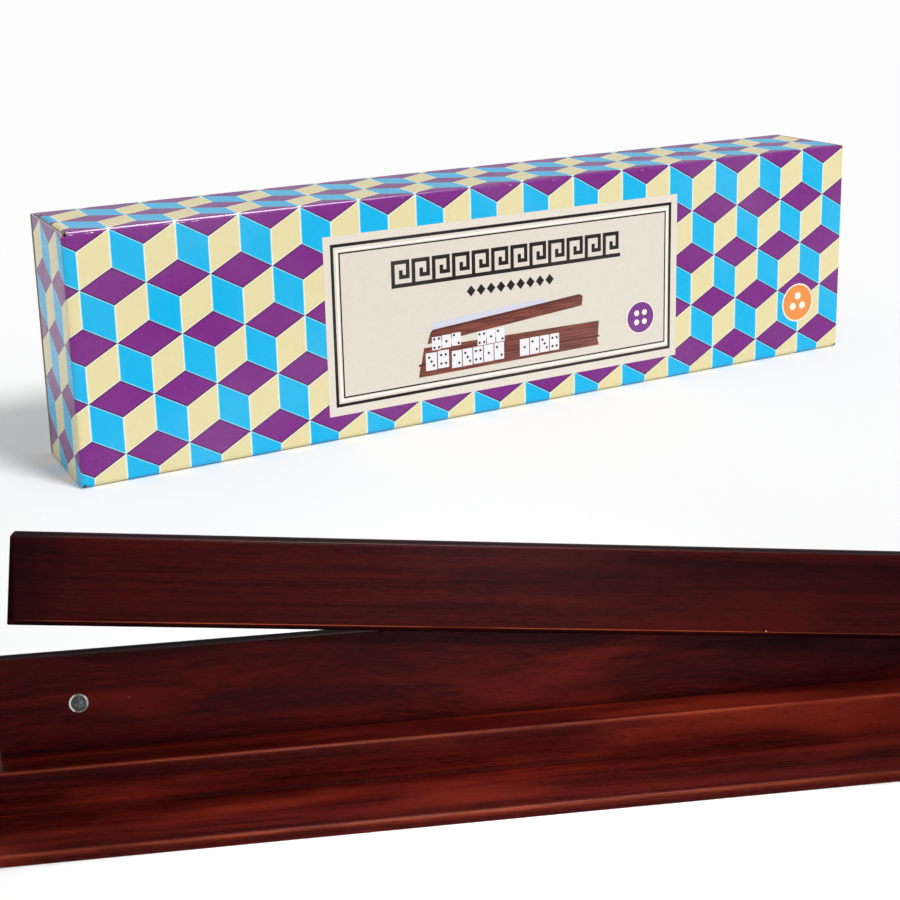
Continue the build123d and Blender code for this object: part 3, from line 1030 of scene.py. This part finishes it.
# %% Plain tiles on it: each row's count, left end, foot, a tile's width and height, and the climb
tile_rows = (
    (2, -50.4, 29.6, 7.3, 9.8, 0.35),
    (5, -34.6, 28.8, 6.6, 9.6, 0.12),
    (4, 8.0, 28.9, 6.5, 9.7, 0.08),
    (3, -46.4, 40.6, 6.0, 7.2, 0.30),
    (3, -18.6, 39.0, 5.8, 7.8, 0.15),
)
tile_shares = np.array([(0.03, 0), (0.95, 0), (0.95, 1), (0.03, 1)])
pip_layouts = (
    [(0, 0)],
    [(-1, 1), (1, -1)],
    [(-1, 1), (0, 0), (1, -1)],
    [(-1, 1), (1, 1), (-1, -1), (1, -1)],
)
pip_apart = (1.4, 2.4)
pip_radius = 0.7 * MM


def drawn_tile_row(count, left, foot, width, height, climb):
    """Corners of a row's tiles and the middles of their pips. Each tile stands a little higher."""
    spots = np.array([(left + k * width, foot + k * climb) for k in range(count)])
    tiles = spots[:, None] + tile_shares * (width, height)
    middles = spots + (width * 0.49, height * 0.5)
    pips = [middle + np.array(pip_layouts[(k + count) % 4]) * pip_apart for k, middle in enumerate(middles)]
    return tiles * MM, np.concatenate(pips) * MM


drawn_tiles, drawn_pips = (
    np.concatenate(parts) for parts in zip(*[drawn_tile_row(*row) for row in tile_rows])
)
front_patches("drawn_tiles", slanted(drawn_tiles), 5, tile_white)
front_patches("drawn_pips", discs(drawn_pips, pip_radius, 7), 6, label_black)
print("drawn tiles:", len(drawn_tiles), "with", len(drawn_pips), "pips")

# %% Two plain discs: middle, radius of rim and disc, level, ink, and the dots' places and radius
thirds = np.radians([90, 210, 330])
ring = np.stack([np.cos(thirds), np.sin(thirds)], -1)
plain_discs = (
    ("purple", (89.0, 39.8), 9.6, 9.0, 2, disc_purple, 2 * half_steps * 2.7, 1.7),
    ("orange", (205.5, 32.6), 11.9, 11.0, 0, disc_orange, ring * 4.2, 2.3),
)
for name, spot, rim_radius, radius, level, ink, dots, dot_radius in plain_discs:
    middle = np.array(spot) * MM
    front_patches(f"{name}_disc_rim", discs([middle], rim_radius * MM, 21), level, disc_pale)
    front_patches(f"{name}_disc", discs([middle], radius * MM, 21), level + 1, ink)
    front_patches(f"{name}_disc_dots", discs(middle + dots * MM, dot_radius * MM, 9), level + 2, disc_pale)
print("discs at", [spot for _, spot, *_ in plain_discs], "mm")

# %% [markdown]
# ## Mahogany
# The rack is dark red wood under a thin satin lacquer. Its figure has three sizes: broad bands that
# wander along the board, fine fibres, and short dark pores. All are one noise, stretched along the
# rack by different amounts, so they are one group. The back board's figure also swirls, which is the
# same noise read from a place that another noise has pushed aside.


# %% The grain
def mahogany_grain():
    """Fibres, bands, warm patches and pores, each a noise of the place with X squeezed, mixed in turn."""
    w, given, result = node_group(
        "mahogany_grain",
        {"Place": "vector", "Dark": "colour", "Light": "colour", "Ember": "colour", "Swirl": "number"},
        {"Colour": "colour", "Roughness": "number", "Height": "number"},
    )
    place = given["Place"]
    push = w.node("TexNoise", {"Vector": w.stretched(place, (11, 34, 34)), "Scale": 1.0, "Detail": 1.0})
    halves = {0: push.outputs[1], 1: (0.5, 0.5, 0.5)}
    middle = w.node("VectorMath", halves, operation="SUBTRACT").outputs[0]
    pushed = w.node("VectorMath", {0: middle, "Scale": given["Swirl"]}, operation="SCALE").outputs[0]
    swirled = w.node("VectorMath", {0: place, 1: pushed}, operation="ADD").outputs[0]
    fibres = w.noise(swirled, (16, 1300, 1300), 5.0, 0.6)
    streaks = w.noise(swirled, (5, 260, 260), 3.0, 0.6)
    bands = w.noise(swirled, (2.6, 64, 64), 2.0)
    glow = w.noise(swirled, (10, 46, 46), 3.0)
    flecks = w.noise(place, (230, 2700, 2700), 2.0, 0.6)
    pores = w.step(w.noise(place, (300, 3600, 3600), 1.0), 0.60, 0.68)
    figure = w.math("MULTIPLY_ADD", streaks, 0.40, w.math("MULTIPLY", fibres, 0.30))
    figure = w.math("MULTIPLY_ADD", flecks, 0.30, figure)
    fibred = w.mix(w.step(figure, 0.38, 0.61), given["Dark"], given["Light"])
    banded = w.mix(w.step(bands, 0.44, 0.66, 0.0, 0.55), fibred, given["Dark"])
    glowing = w.mix(w.step(glow, 0.50, 0.72, 0.0, 0.6), banded, given["Ember"])
    gloss = w.math("MULTIPLY_ADD", fibres, 0.14, 0.26)
    peel = w.noise(place, 2100.0, 2.0)
    w.feed(
        result, Colour=w.mix(w.math("MULTIPLY", pores, 0.45), glowing, paint("0E0304")),
        Roughness=w.math("MULTIPLY_ADD", pores, 0.15, gloss),
        Height=w.math("MULTIPLY_ADD", peel, 1.8, w.math("SUBTRACT", flecks, pores)),
    )
    return w.tree


# %% Dust: a few tiny pale specks that settle on lacquer
def dust_specks():
    """Cells of a Voronoi pattern whose point is near, kept only where the cell's own random number is
    high, so that most cells stay clean."""
    w, given, result = node_group("dust_specks", {"Place": "vector"}, {"Mask": "number"})
    cells = w.node("TexVoronoi", {"Vector": given["Place"], "Scale": 130.0}).outputs
    near = w.step(cells["Distance"], 0.02, 0.035, 1.0, 0.0)
    chosen = w.math("GREATER_THAN", w.node("SeparateXYZ", {0: cells["Color"]}).outputs[0], 0.9)
    w.feed(result, Mask=w.math("MULTIPLY", near, chosen))
    return w.tree


# %% Painted light and shade: highlights painted lighter, shade in creases, under the bar and on top faces painted dark
def wood_painted_light_and_shade():
    """Where the value is above zero the wood is lighter, in patches: painted highlights, and a faint
    lighter line on rounded edges. Where it is below, down to minus one, the wood is dark and dull: painted
    shade in creases, under the bar and on top faces, and a darkening towards the bar's free end."""
    w, given, result = node_group(
        "wood_painted_light_and_shade", {"Place": "vector", "Rub": "number", "Colour": "colour", "Roughness": "number"},
        {"Colour": "colour", "Roughness": "number"},
    )
    patchy = w.step(w.noise(given["Place"], (34, 300, 300), 3.0), 0.30, 0.62, 0.35, 1.0)
    # Above zero the colour goes towards BC5836, in patches: painted highlights, and lighter rounded edges
    rubbed = w.math("MULTIPLY", w.math("MAXIMUM", given["Rub"], 0.0), patchy)
    # Below zero the colour goes towards 0C0202 and dull: painted shade, and the darkening at the bar's free
    # end
    dulled = w.math("MAXIMUM", w.math("MULTIPLY", given["Rub"], -1.0), 0.0)
    lighter = w.mix(rubbed, given["Colour"], paint("BC5836"))
    w.feed(
        result, Colour=w.mix(dulled, lighter, paint("0C0202")),
        Roughness=w.between(dulled, given["Roughness"], 0.95),
    )
    return w.tree


grain_group = mahogany_grain()
dust_group = dust_specks()
light_and_shade_group = wood_painted_light_and_shade()
print("wood groups:", [len(group.nodes) for group in (grain_group, dust_group, light_and_shade_group)], "nodes")


# %% Lacquered wood
def lacquered_mahogany(name, dark, light, ember, swirl, own_place=True):
    """Mahogany under satin lacquer. It reads its place from the mesh's own grain attribute, or from
    Object coordinates on a piece that lies along X."""
    material, w, shader = new_material(
        name, Specular_IOR_Level=0.025, Coat_Weight=0.015, Coat_Roughness=0.16
    )
    place = w.kept("grain", "Vector") if own_place else w.place()
    grain = w.group(
        grain_group, Place=place, Dark=paint(dark), Light=paint(light), Ember=paint(ember), Swirl=swirl
    )
    # Painted highlights and shade from each point's kept value, laid over the grain
    lit_and_shaded = w.group(
        light_and_shade_group, Place=place, Rub=w.kept("light_and_shade"), Colour=grain["Colour"], Roughness=grain["Roughness"]
    )
    dust = w.group(dust_group, Place=place)["Mask"]
    w.feed(
        shader, Base_Color=w.mix(dust, lit_and_shaded["Colour"], paint("C9B7B0")), Roughness=lit_and_shaded["Roughness"],
        Normal=w.bump(grain["Height"], 0.03 * MM),
    )
    return material


moulding_wood = lacquered_mahogany("moulding_mahogany", "220303", "53120C", "792416", 0.002)
panel_wood = lacquered_mahogany("panel_mahogany", "200303", "3F0907", "66180F", 0.022)
bar_wood = lacquered_mahogany("bar_mahogany", "1C0303", "3A0907", "420C09", 0.001)
stored_wood = lacquered_mahogany("stored_mahogany", "240303", "4C0F0A", "681B0E", 0.010, False)
print("woods:", [m.name for m in (moulding_wood, panel_wood, bar_wood, stored_wood)])

# %% [markdown]
# ## The loose rack's wood
# The moulding, the back board and the bar are each one section run along the rack. The sections are
# outlines with rounded corners, and the ends are eased: over the last half millimetre the outline
# shrinks a little towards its middle, as sandpaper leaves it. Each point also keeps its place in the
# rack's own frame as an attribute, so that the grain can run along the wood.


# %% An outline with rounded corners
def rounded_outline(corners, radii, spacing=1.2 * MM):
    """The polygon with each corner replaced by an arc that touches both sides, and points along the
    sides. At a corner with unit directions a and b to its neighbours and half angle h, the arc starts
    at the radius over the tangent of h from the corner, and its centre is the radius over the sine of
    h away along a plus b."""
    corners = np.array(corners, float)
    arcs = []
    for before, p, after, r in zip(np.roll(corners, 1, 0), corners, np.roll(corners, -1, 0), radii):
        a, b = before - p, after - p
        a, b = a / np.linalg.norm(a), b / np.linalg.norm(b)
        half = math.acos(np.clip(a @ b, -1, 1)) / 2
        cut = r / math.tan(half)
        middle = p + (a + b) / np.linalg.norm(a + b) * r / math.sin(half)
        first = math.atan2(*(p + a * cut - middle)[::-1])
        last = math.atan2(*(p + b * cut - middle)[::-1])
        sweep = (last - first + math.pi) % (2 * math.pi) - math.pi
        steps = max(4, int(abs(sweep) / math.radians(12)) + 1)
        angle = first + sweep * np.linspace(0, 1, steps)
        arcs.append(middle + r * np.stack([np.cos(angle), np.sin(angle)], -1))
    outline = []
    for here, following in zip(arcs, arcs[1:] + arcs[:1]):
        a, b = here[-1], following[0]
        outline += [here, straight(a, b, max(1, int(np.linalg.norm(b - a) / spacing)))]
    return np.concatenate(outline)


# %% A section run along the rack
end_share = np.array([0.001, 0.32, 0.65, 0.98])
wood_crease = 50


def tube_corners(rings, around):
    """For each face between neighbouring rings of points: the point here, the next on its ring, the one
    across from that on the next ring, and the one across from here."""
    i, j = (grid.ravel() for grid in np.meshgrid(np.arange(rings - 1), np.arange(around), indexing="ij"))
    after = (j + 1) % around
    return i * around + j, i * around + after, (i + 1) * around + after, (i + 1) * around + j


def run_along(name, outline, xs, ease, material, light_and_shade_spots):
    """The outline carried along X: point (i, j) is at x_i, and at the outline's point j drawn towards
    the outline's middle by the ease of x_i. Each end is closed by rings that shrink to the middle.
    The last argument lists corners of the section with the width and strength of a bell curve of
    painted light and shade on them, lighter above zero and darker below."""
    middle = (outline.min(0) + outline.max(0)) / 2
    size = (outline.max(0) - outline.min(0)) / 2
    closing = (len(end_share), len(end_share))
    xs_all, ease_all = np.pad(xs, closing, "edge"), np.pad(ease, closing, "edge")
    share = np.concatenate([end_share, np.ones(len(xs)), end_share[::-1]])
    keep = (1 - ease_all[:, None] / size) * share[:, None]
    yz = middle + (outline - middle)[None] * keep[:, None, :]
    x = np.broadcast_to(xs_all[:, None, None], (len(xs_all), len(outline), 1))
    flat = np.concatenate([x, yz], -1).reshape(-1, 3)
    here, beside, opposite, ahead = tube_corners(len(xs_all), len(outline))
    corners = np.stack([here, ahead, opposite, beside], -1)
    # Painted light and shade at each point: bell curves about the listed corners
    light_and_shade = sum(
        strength * bell(np.linalg.norm(flat[:, 1:] - spot, axis=1), width)
        for spot, width, strength in light_and_shade_spots
    )
    # Each point keeps its painted light and shade for the wood's material
    values = {"grain": flat, "light_and_shade": np.clip(light_and_shade, -1, 1)}
    return mesh_object(name, on_stand(flat), corners, None, None, [material], values, wood_crease)


def eased_run(low, high, ease, count):
    """X stations from low to high with a quarter round of the ease at each end, and the ease at each."""
    turn = np.linspace(0, np.pi / 2, 5)
    first = low + ease * (1 - np.cos(turn))
    last = high - ease * (1 - np.cos(turn[::-1]))
    middle = np.linspace(low + ease, high - ease, count + 2)[1:-1]
    xs = np.concatenate([first, middle, last])
    eases = np.concatenate([ease * (1 - np.sin(turn)), 0 * middle, ease * (1 - np.sin(turn[::-1]))])
    return xs, eases


# %% Moulding and back board, with their painted highlights and shade: the place, the width and how much
moulding_outline = rounded_outline(
    [(0, 0), (0, front_lip), step_foot, nose, panel_foot, panel_base],
    np.array([0.25, 0.9, 0.35, 1.2, 0.15, 0.15]) * MM,
)
# Painted highlights on the nose and the front lip, painted shade in the creases at the step's foot and the
# panel's foot
moulding_light_and_shade = [
    (nose, 0.48 * MM, 1.0), (np.array([0, front_lip]), 0.7 * MM, 0.35),
    (step_foot, 0.6 * MM, -0.6), (panel_foot, 0.7 * MM, -0.9),
]
xs, eases = eased_run(-rack_half, rack_half, 0.45 * MM, 60)
moulding = run_along("wooden_moulding", moulding_outline, xs, eases, moulding_wood, moulding_light_and_shade)
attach(moulding, "rack")
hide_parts("rack_moulding")

board_rear = panel_base + np.array([back_thickness / math.cos(panel_lean), 0])
board_outline = rounded_outline(
    [panel_base, panel_top, panel_top - back_thickness * panel_out, board_rear],
    np.array([0.15, 0.8, 0.8, 0.3]) * MM,
)
top_shade_width = 2.6 * MM
# Painted shade in the crease at the panel's foot, and the board's top face painted dark and dull as shade
board_shade = [
    (panel_foot, 0.8 * MM, -0.9), (panel_top - back_thickness / 2 * panel_out, top_shade_width, -0.95)
]
back_board = run_along("wooden_back_board", board_outline, xs, eases, panel_wood, board_shade)
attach(back_board, "rack")
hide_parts("rack_back_board")
print("moulding and back board:", len(moulding.data.polygons) + len(back_board.data.polygons), "faces")

# %% [markdown]
# ## The pusher bar
# The bar turns on a shoulder screw at its right end, where it is a half circle, and it is square at
# its free end. Seen from the front it is a slot shape, so it is made as one outline in the plane of
# the back board, run through the bar's thickness. Its lower front edge is rounder than the others and
# painted dark and dull as shadow, with a painted highlight line above it.

# %% The pivot's place and the bar's plane
bar_thickness = 8.0 * MM
washer_thickness = 0.8 * MM
pivot_inset = 25.0 * MM
left_inset = 5.0 * MM
rest_opening = math.radians(5.5)
bar_reach = 2 * rack_half - pivot_inset - left_inset
pivot_x = rack_half - pivot_inset
pivot_up = ledge_clearance + bar_height / 2


def bar_place(points):
    """Points drawn about the pivot, X along the bar, Y up it and Z out of it. They are lifted onto the
    washer, swung open by the rest opening, leaned back with the panel and set on the rack."""
    x, y, z = turned(points + np.array([0, 0, washer_thickness]), -rest_opening).T
    yz = panel_foot + pivot_up * panel_up + y[:, None] * panel_up + z[:, None] * panel_out
    return on_stand(np.concatenate([x[:, None] + pivot_x, yz], 1))


print("bar", round(bar_reach / MM), "mm from its free end to the pivot, which is at x", round(pivot_x, 4))

# %% The bar's outline
bar_edge = 1.0 * MM
bar_under_edge = 2.4 * MM
rear_edge = 0.3 * MM
end_corner = 0.6 * MM
corner_points = 5


def bar_outline():
    """Around the bar in its plane: up its square left end, along the top, round the pivot end and back
    below."""
    half = bar_height / 2
    left = -bar_reach + end_corner
    lower = arc((left, end_corner - half), end_corner, 270, 180, corner_points)
    upper = arc((left, half - end_corner), end_corner, 180, 90, corner_points)
    round_end = arc((0, 0), half, 90, -90, 33)
    top = straight(upper[-1], round_end[0], 70)
    bottom = straight(round_end[-1], lower[0], 70)
    return np.concatenate([lower, upper, top, round_end, bottom])


# %% The bar's layers through its thickness, and its painted light and shade at each
front_round = np.radians([90, 75, 60, 45, 32, 22, 16, 11, 6, 0])[:, None]
# The lower front round is painted dark as shadow, with a painted highlight line where the round starts
under_shadow_and_highlight = np.array([-0.45, -0.5, -0.5, -0.5, -0.5, -0.45, -0.3, 0.75, 0.0, 0.0])[:, None]
rear_round = np.linspace(0, np.pi / 2, 4)[:, None]
edge_lightening = 0.12
# The bar's top face is painted dark and dull as shade
top_shade = 0.9
end_dull = 0.6
end_dull_length = 14 * MM


def build_bar():
    """The outline at each depth, drawn in by that depth's inset along its own normal, with the front and
    rear faces filled by strips between the upper and lower halves of the outline. The front edge's
    radius grows from the sides to the bar's underside. A painted highlight is a light line where that
    round starts, and the round below it is painted dark and dull as shadow. The top face is painted dark
    and dull as shade, the other front edges get a faint lighter line, and the wood grows dark and dull
    towards the free end."""
    line = bar_outline()
    under = eased((-line[:, 1] / bar_height - 0.2) / 0.25)[None]
    on_top = (line[:, 1] > 0.48 * bar_height)[None]
    edge = bar_edge + (bar_under_edge - bar_edge) * under
    depths = np.concatenate([
        rear_edge * (1 - np.cos(rear_round)) + 0 * edge, np.full_like(edge, bar_thickness / 2),
        bar_thickness - edge * (1 - np.cos(front_round)),
    ])
    insets = np.concatenate([
        rear_edge * (1 - np.sin(rear_round)) + 0 * edge, 0 * edge, edge * (1 - np.sin(front_round)),
    ])
    ahead = np.roll(line, -1, 0) - np.roll(line, 1, 0)
    normal = np.stack([-ahead[:, 1], ahead[:, 0]], -1)
    normal /= np.linalg.norm(normal, axis=1)[:, None]
    layers = line[None] - normal[None] * insets[:, :, None]
    points = np.concatenate([layers, depths[:, :, None]], -1)

    # Painted shadow on the lower round and a painted highlight line where it starts; a faint lighter line
    # on the other front edges
    front_light_and_shade = under * under_shadow_and_highlight + (1 - under) * edge_lightening * np.sin(2 * front_round)
    light_and_shade = np.concatenate([np.zeros((len(rear_round) + 1, len(line))), front_light_and_shade])
    # Painted shade on the top face
    light_and_shade -= top_shade * on_top * bell(depths - bar_thickness / 2, top_shade_width)
    light_and_shade -= end_dull * bell(points[..., 0] + bar_reach, end_dull_length)

    m, n = len(line), len(depths)
    rim = np.stack(tube_corners(n, m), -1)
    first, last = corner_points + np.arange(m // 2 - 1), corner_points - 1 - np.arange(m // 2 - 1)
    strip = np.stack([first, first + 1, (last - 1) % m, last % m], -1)
    faces = np.concatenate([rim, strip, ((n - 1) * m + strip)[:, ::-1]])
    return points.reshape(-1, 3), faces, np.clip(light_and_shade, -1, 1).ravel()


bar_points, bar_faces, bar_light_and_shade = build_bar()
# The bar's painted light and shade goes with each point, beside its grain place
bar_values = {"grain": bar_points + np.array([0.11, 0.07, 0.0]), "light_and_shade": bar_light_and_shade}
pusher = mesh_object(
    "wooden_pusher", bar_place(bar_points), bar_faces, None, None, [bar_wood], bar_values, wood_crease
)
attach(pusher, "pusher")
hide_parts("rack_pusher")
print("bar:", len(pusher.data.polygons), "faces")

# %% [markdown]
# ## Metal fittings and the stored racks
# The screws, washers, magnets and discs have their right shape in the CAD frame, and so do the racks in
# the carton. They stay as they are and only get a finish. Metal is grey with high Metallic, but what
# makes it read as metal is uneven roughness, so the four metals share one group of fine scratches and
# brown tarnish.


# %% Worn metal and the finishes that use it
def worn_metal():
    """Scratches are two noises, each drawn out along one direction, and the stronger of them taken.
    Tarnish is a third noise in broad patches."""
    w, given, result = node_group(
        "worn_metal", {"Place": "vector"}, {"Scratches": "number", "Tarnish": "number"}
    )
    across = w.noise(given["Place"], (300, 9000, 2600))
    along = w.noise(given["Place"], (8000, 500, 2600))
    w.feed(
        result, Scratches=w.step(w.math("MAXIMUM", across, along), 0.5, 0.75),
        Tarnish=w.step(w.noise(given["Place"], 205.0), 0.40, 0.56, 0.0, 0.85),
    )
    return w.tree


metal_group = worn_metal()


def turned_metal(name, dull, bright, smooth, rough):
    """Metal whose scratches are brighter and rougher than the rest, under patches of tarnish."""
    material, w, shader = new_material(name, Metallic=1.0)
    wear = w.group(metal_group, Place=w.place())
    scratched = w.mix(wear["Scratches"], paint(dull), paint(bright))
    w.feed(
        shader, Base_Color=w.mix(wear["Tarnish"], scratched, paint("40332F")),
        Roughness=w.between(wear["Scratches"], smooth, rough),
        Normal=w.bump(wear["Scratches"], 0.004 * MM),
    )
    return material


def sintered_ferrite():
    """Near black, dull and grainy, scraped paler in patches by the disc that it holds."""
    material, w, shader = new_material("magnet_ferrite")
    place = w.place()
    grains = w.noise(place, 5200.0)
    scraped = w.step(w.noise(place, 700.0, 3.0, 0.6), 0.50, 0.66, 0.0, 0.8)
    grainy = w.mix(w.step(grains, 0.4, 0.7), paint("141316"), paint("2A272B"))
    w.feed(
        shader, Base_Color=w.mix(scraped, grainy, paint("625D60")),
        Roughness=w.step(grains, 0.3, 0.7, 0.45, 0.7), Normal=w.bump(grains, 0.02 * MM),
    )
    return material


finishes = {
    "pivot_screw": turned_metal("screw_steel", "8E8B86", "C9C6C0", 0.24, 0.42),
    "pivot_washer": turned_metal("washer_steel", "8A8A8A", "B5B5B5", 0.30, 0.50),
    "magnet_cup": turned_metal("cup_nickel", "B8B5AE", "E6E3DC", 0.16, 0.34),
    "magnet_core": sintered_ferrite(),
    "strike_disc": turned_metal("strike_steel", "85857F", "AFAFA9", 0.34, 0.52),
}
print("fittings:", sorted(finishes))

# %% Every CAD node that stays gets its finish
stored_woods = {
    f"{level}_rack_{piece}" for level in ("lower", "middle", "upper")
    for piece in ("back_board", "moulding", "pusher")
}
for name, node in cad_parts.items():
    fitting = next((kind for kind in finishes if kind in name), None)
    finish = finishes[fitting] if fitting else stored_wood if name in stored_woods else None
    if finish:
        for slot in node.material_slots:
            slot.material = finish
print("stored racks' pieces:", len(stored_woods))

# %% [markdown]
# ## Camera, floor and light
# The camera stands where the photograph's did over the carton's print, a little above it and to its
# left. A pale floor and a soft dome keep colours near what is written in the materials. A sun that
# isn't reflected gives the shadows, three lamps that are only reflected lay a sheen on the lacquer, and
# a spot pools light on the middle of the rack.

# %% The camera
camera_spot = (-0.3959, -0.7219, 0.2601)
yaw, pitch, roll = (math.radians(degrees) for degrees in (-27.617, -13.461, 1.367))
camera = bpy.data.objects.new("camera", bpy.data.cameras.new("camera"))
camera.data.lens = 59.98
camera.data.sensor_width = 36.0
camera.data.shift_y = -0.18
camera.data.clip_start = 0.01
look = Matrix.Rotation(yaw, 4, "Z") @ Matrix.Rotation(pitch, 4, "X") @ Matrix.Rotation(roll, 4, "Y")
camera.matrix_world = Matrix.Translation(camera_spot) @ look @ Matrix.Rotation(math.radians(90), 4, "X")
scene = bpy.context.scene
scene.collection.objects.link(camera)
scene.camera = camera
print("camera at", camera_spot, "m")

# %% The floor
floor_half = 12.0
floor_level = -0.2 * MM
floor_albedo = 0.95
floor_mesh = bpy.data.meshes.new("floor")
floor_mesh.from_pydata(
    [(x * floor_half, y * floor_half, floor_level) for x, y in ((-1, -1), (1, -1), (1, 1), (-1, 1))],
    [], [(0, 1, 2, 3)],
)
floor = bpy.data.objects.new("floor", floor_mesh)
scene.collection.objects.link(floor)
floor_material, _, floor_shader = new_material("pale_floor", Roughness=1.0, Specular_IOR_Level=0.0)
floor_shader["Base Color"].default_value = (floor_albedo, floor_albedo, floor_albedo, 1)
floor_mesh.materials.append(floor_material)
print("floor", 2 * floor_half, "m wide")

# %% The light
dome_strength = 0.55
scene.view_settings.view_transform = "Standard"
scene.world = bpy.data.worlds.new("studio")
scene.world.use_nodes = True
dome = scene.world.node_tree.nodes["Background"].inputs
dome["Color"].default_value = (1, 1, 1, 1)
dome["Strength"].default_value = dome_strength


def lamp(name, kind, energy, spot, aim, **settings):
    """A lamp at a spot, turned towards another."""
    light = bpy.data.objects.new(name, bpy.data.lights.new(name, kind))
    light.data.energy = energy
    for key, value in settings.items():
        setattr(light.data, key, value)
    away = Matrix.Translation(spot).translation - Matrix.Translation(aim).translation
    light.location = spot
    light.rotation_euler = away.to_track_quat("Z", "Y").to_euler()
    scene.collection.objects.link(light)
    return light


rack_middle = (-0.20, -0.37, 0.03)
sun = lamp("key", "SUN", 2.1, (0.9, -1.9, 2.2), (0, 0, 0), angle=math.radians(18))
sun.visible_glossy = False

# Each reflected lamp's name, power in watts, place, and width and height in metres
for name, power, spot, width, height in (
    ("sheen", 42.0, (0.16, 0.06, 1.25), 0.55, 0.35),
    ("strip", 6.0, (-0.62, -1.02, 1.35), 1.4, 0.10),
    ("glow", 4.4, (-0.42, -1.54, 0.27), 0.22, 0.40),
):
    reflected = lamp(name, "AREA", power, spot, rack_middle, shape="RECTANGLE", size=width, size_y=height)
    reflected.visible_diffuse = False
    reflected.visible_camera = False

pool_shape = {"spot_size": math.radians(22), "spot_blend": 1.0, "shadow_soft_size": 0.06}
lamp("pool", "SPOT", 19.0, (-0.36, -0.78, 0.62), rack_middle, **pool_shape)
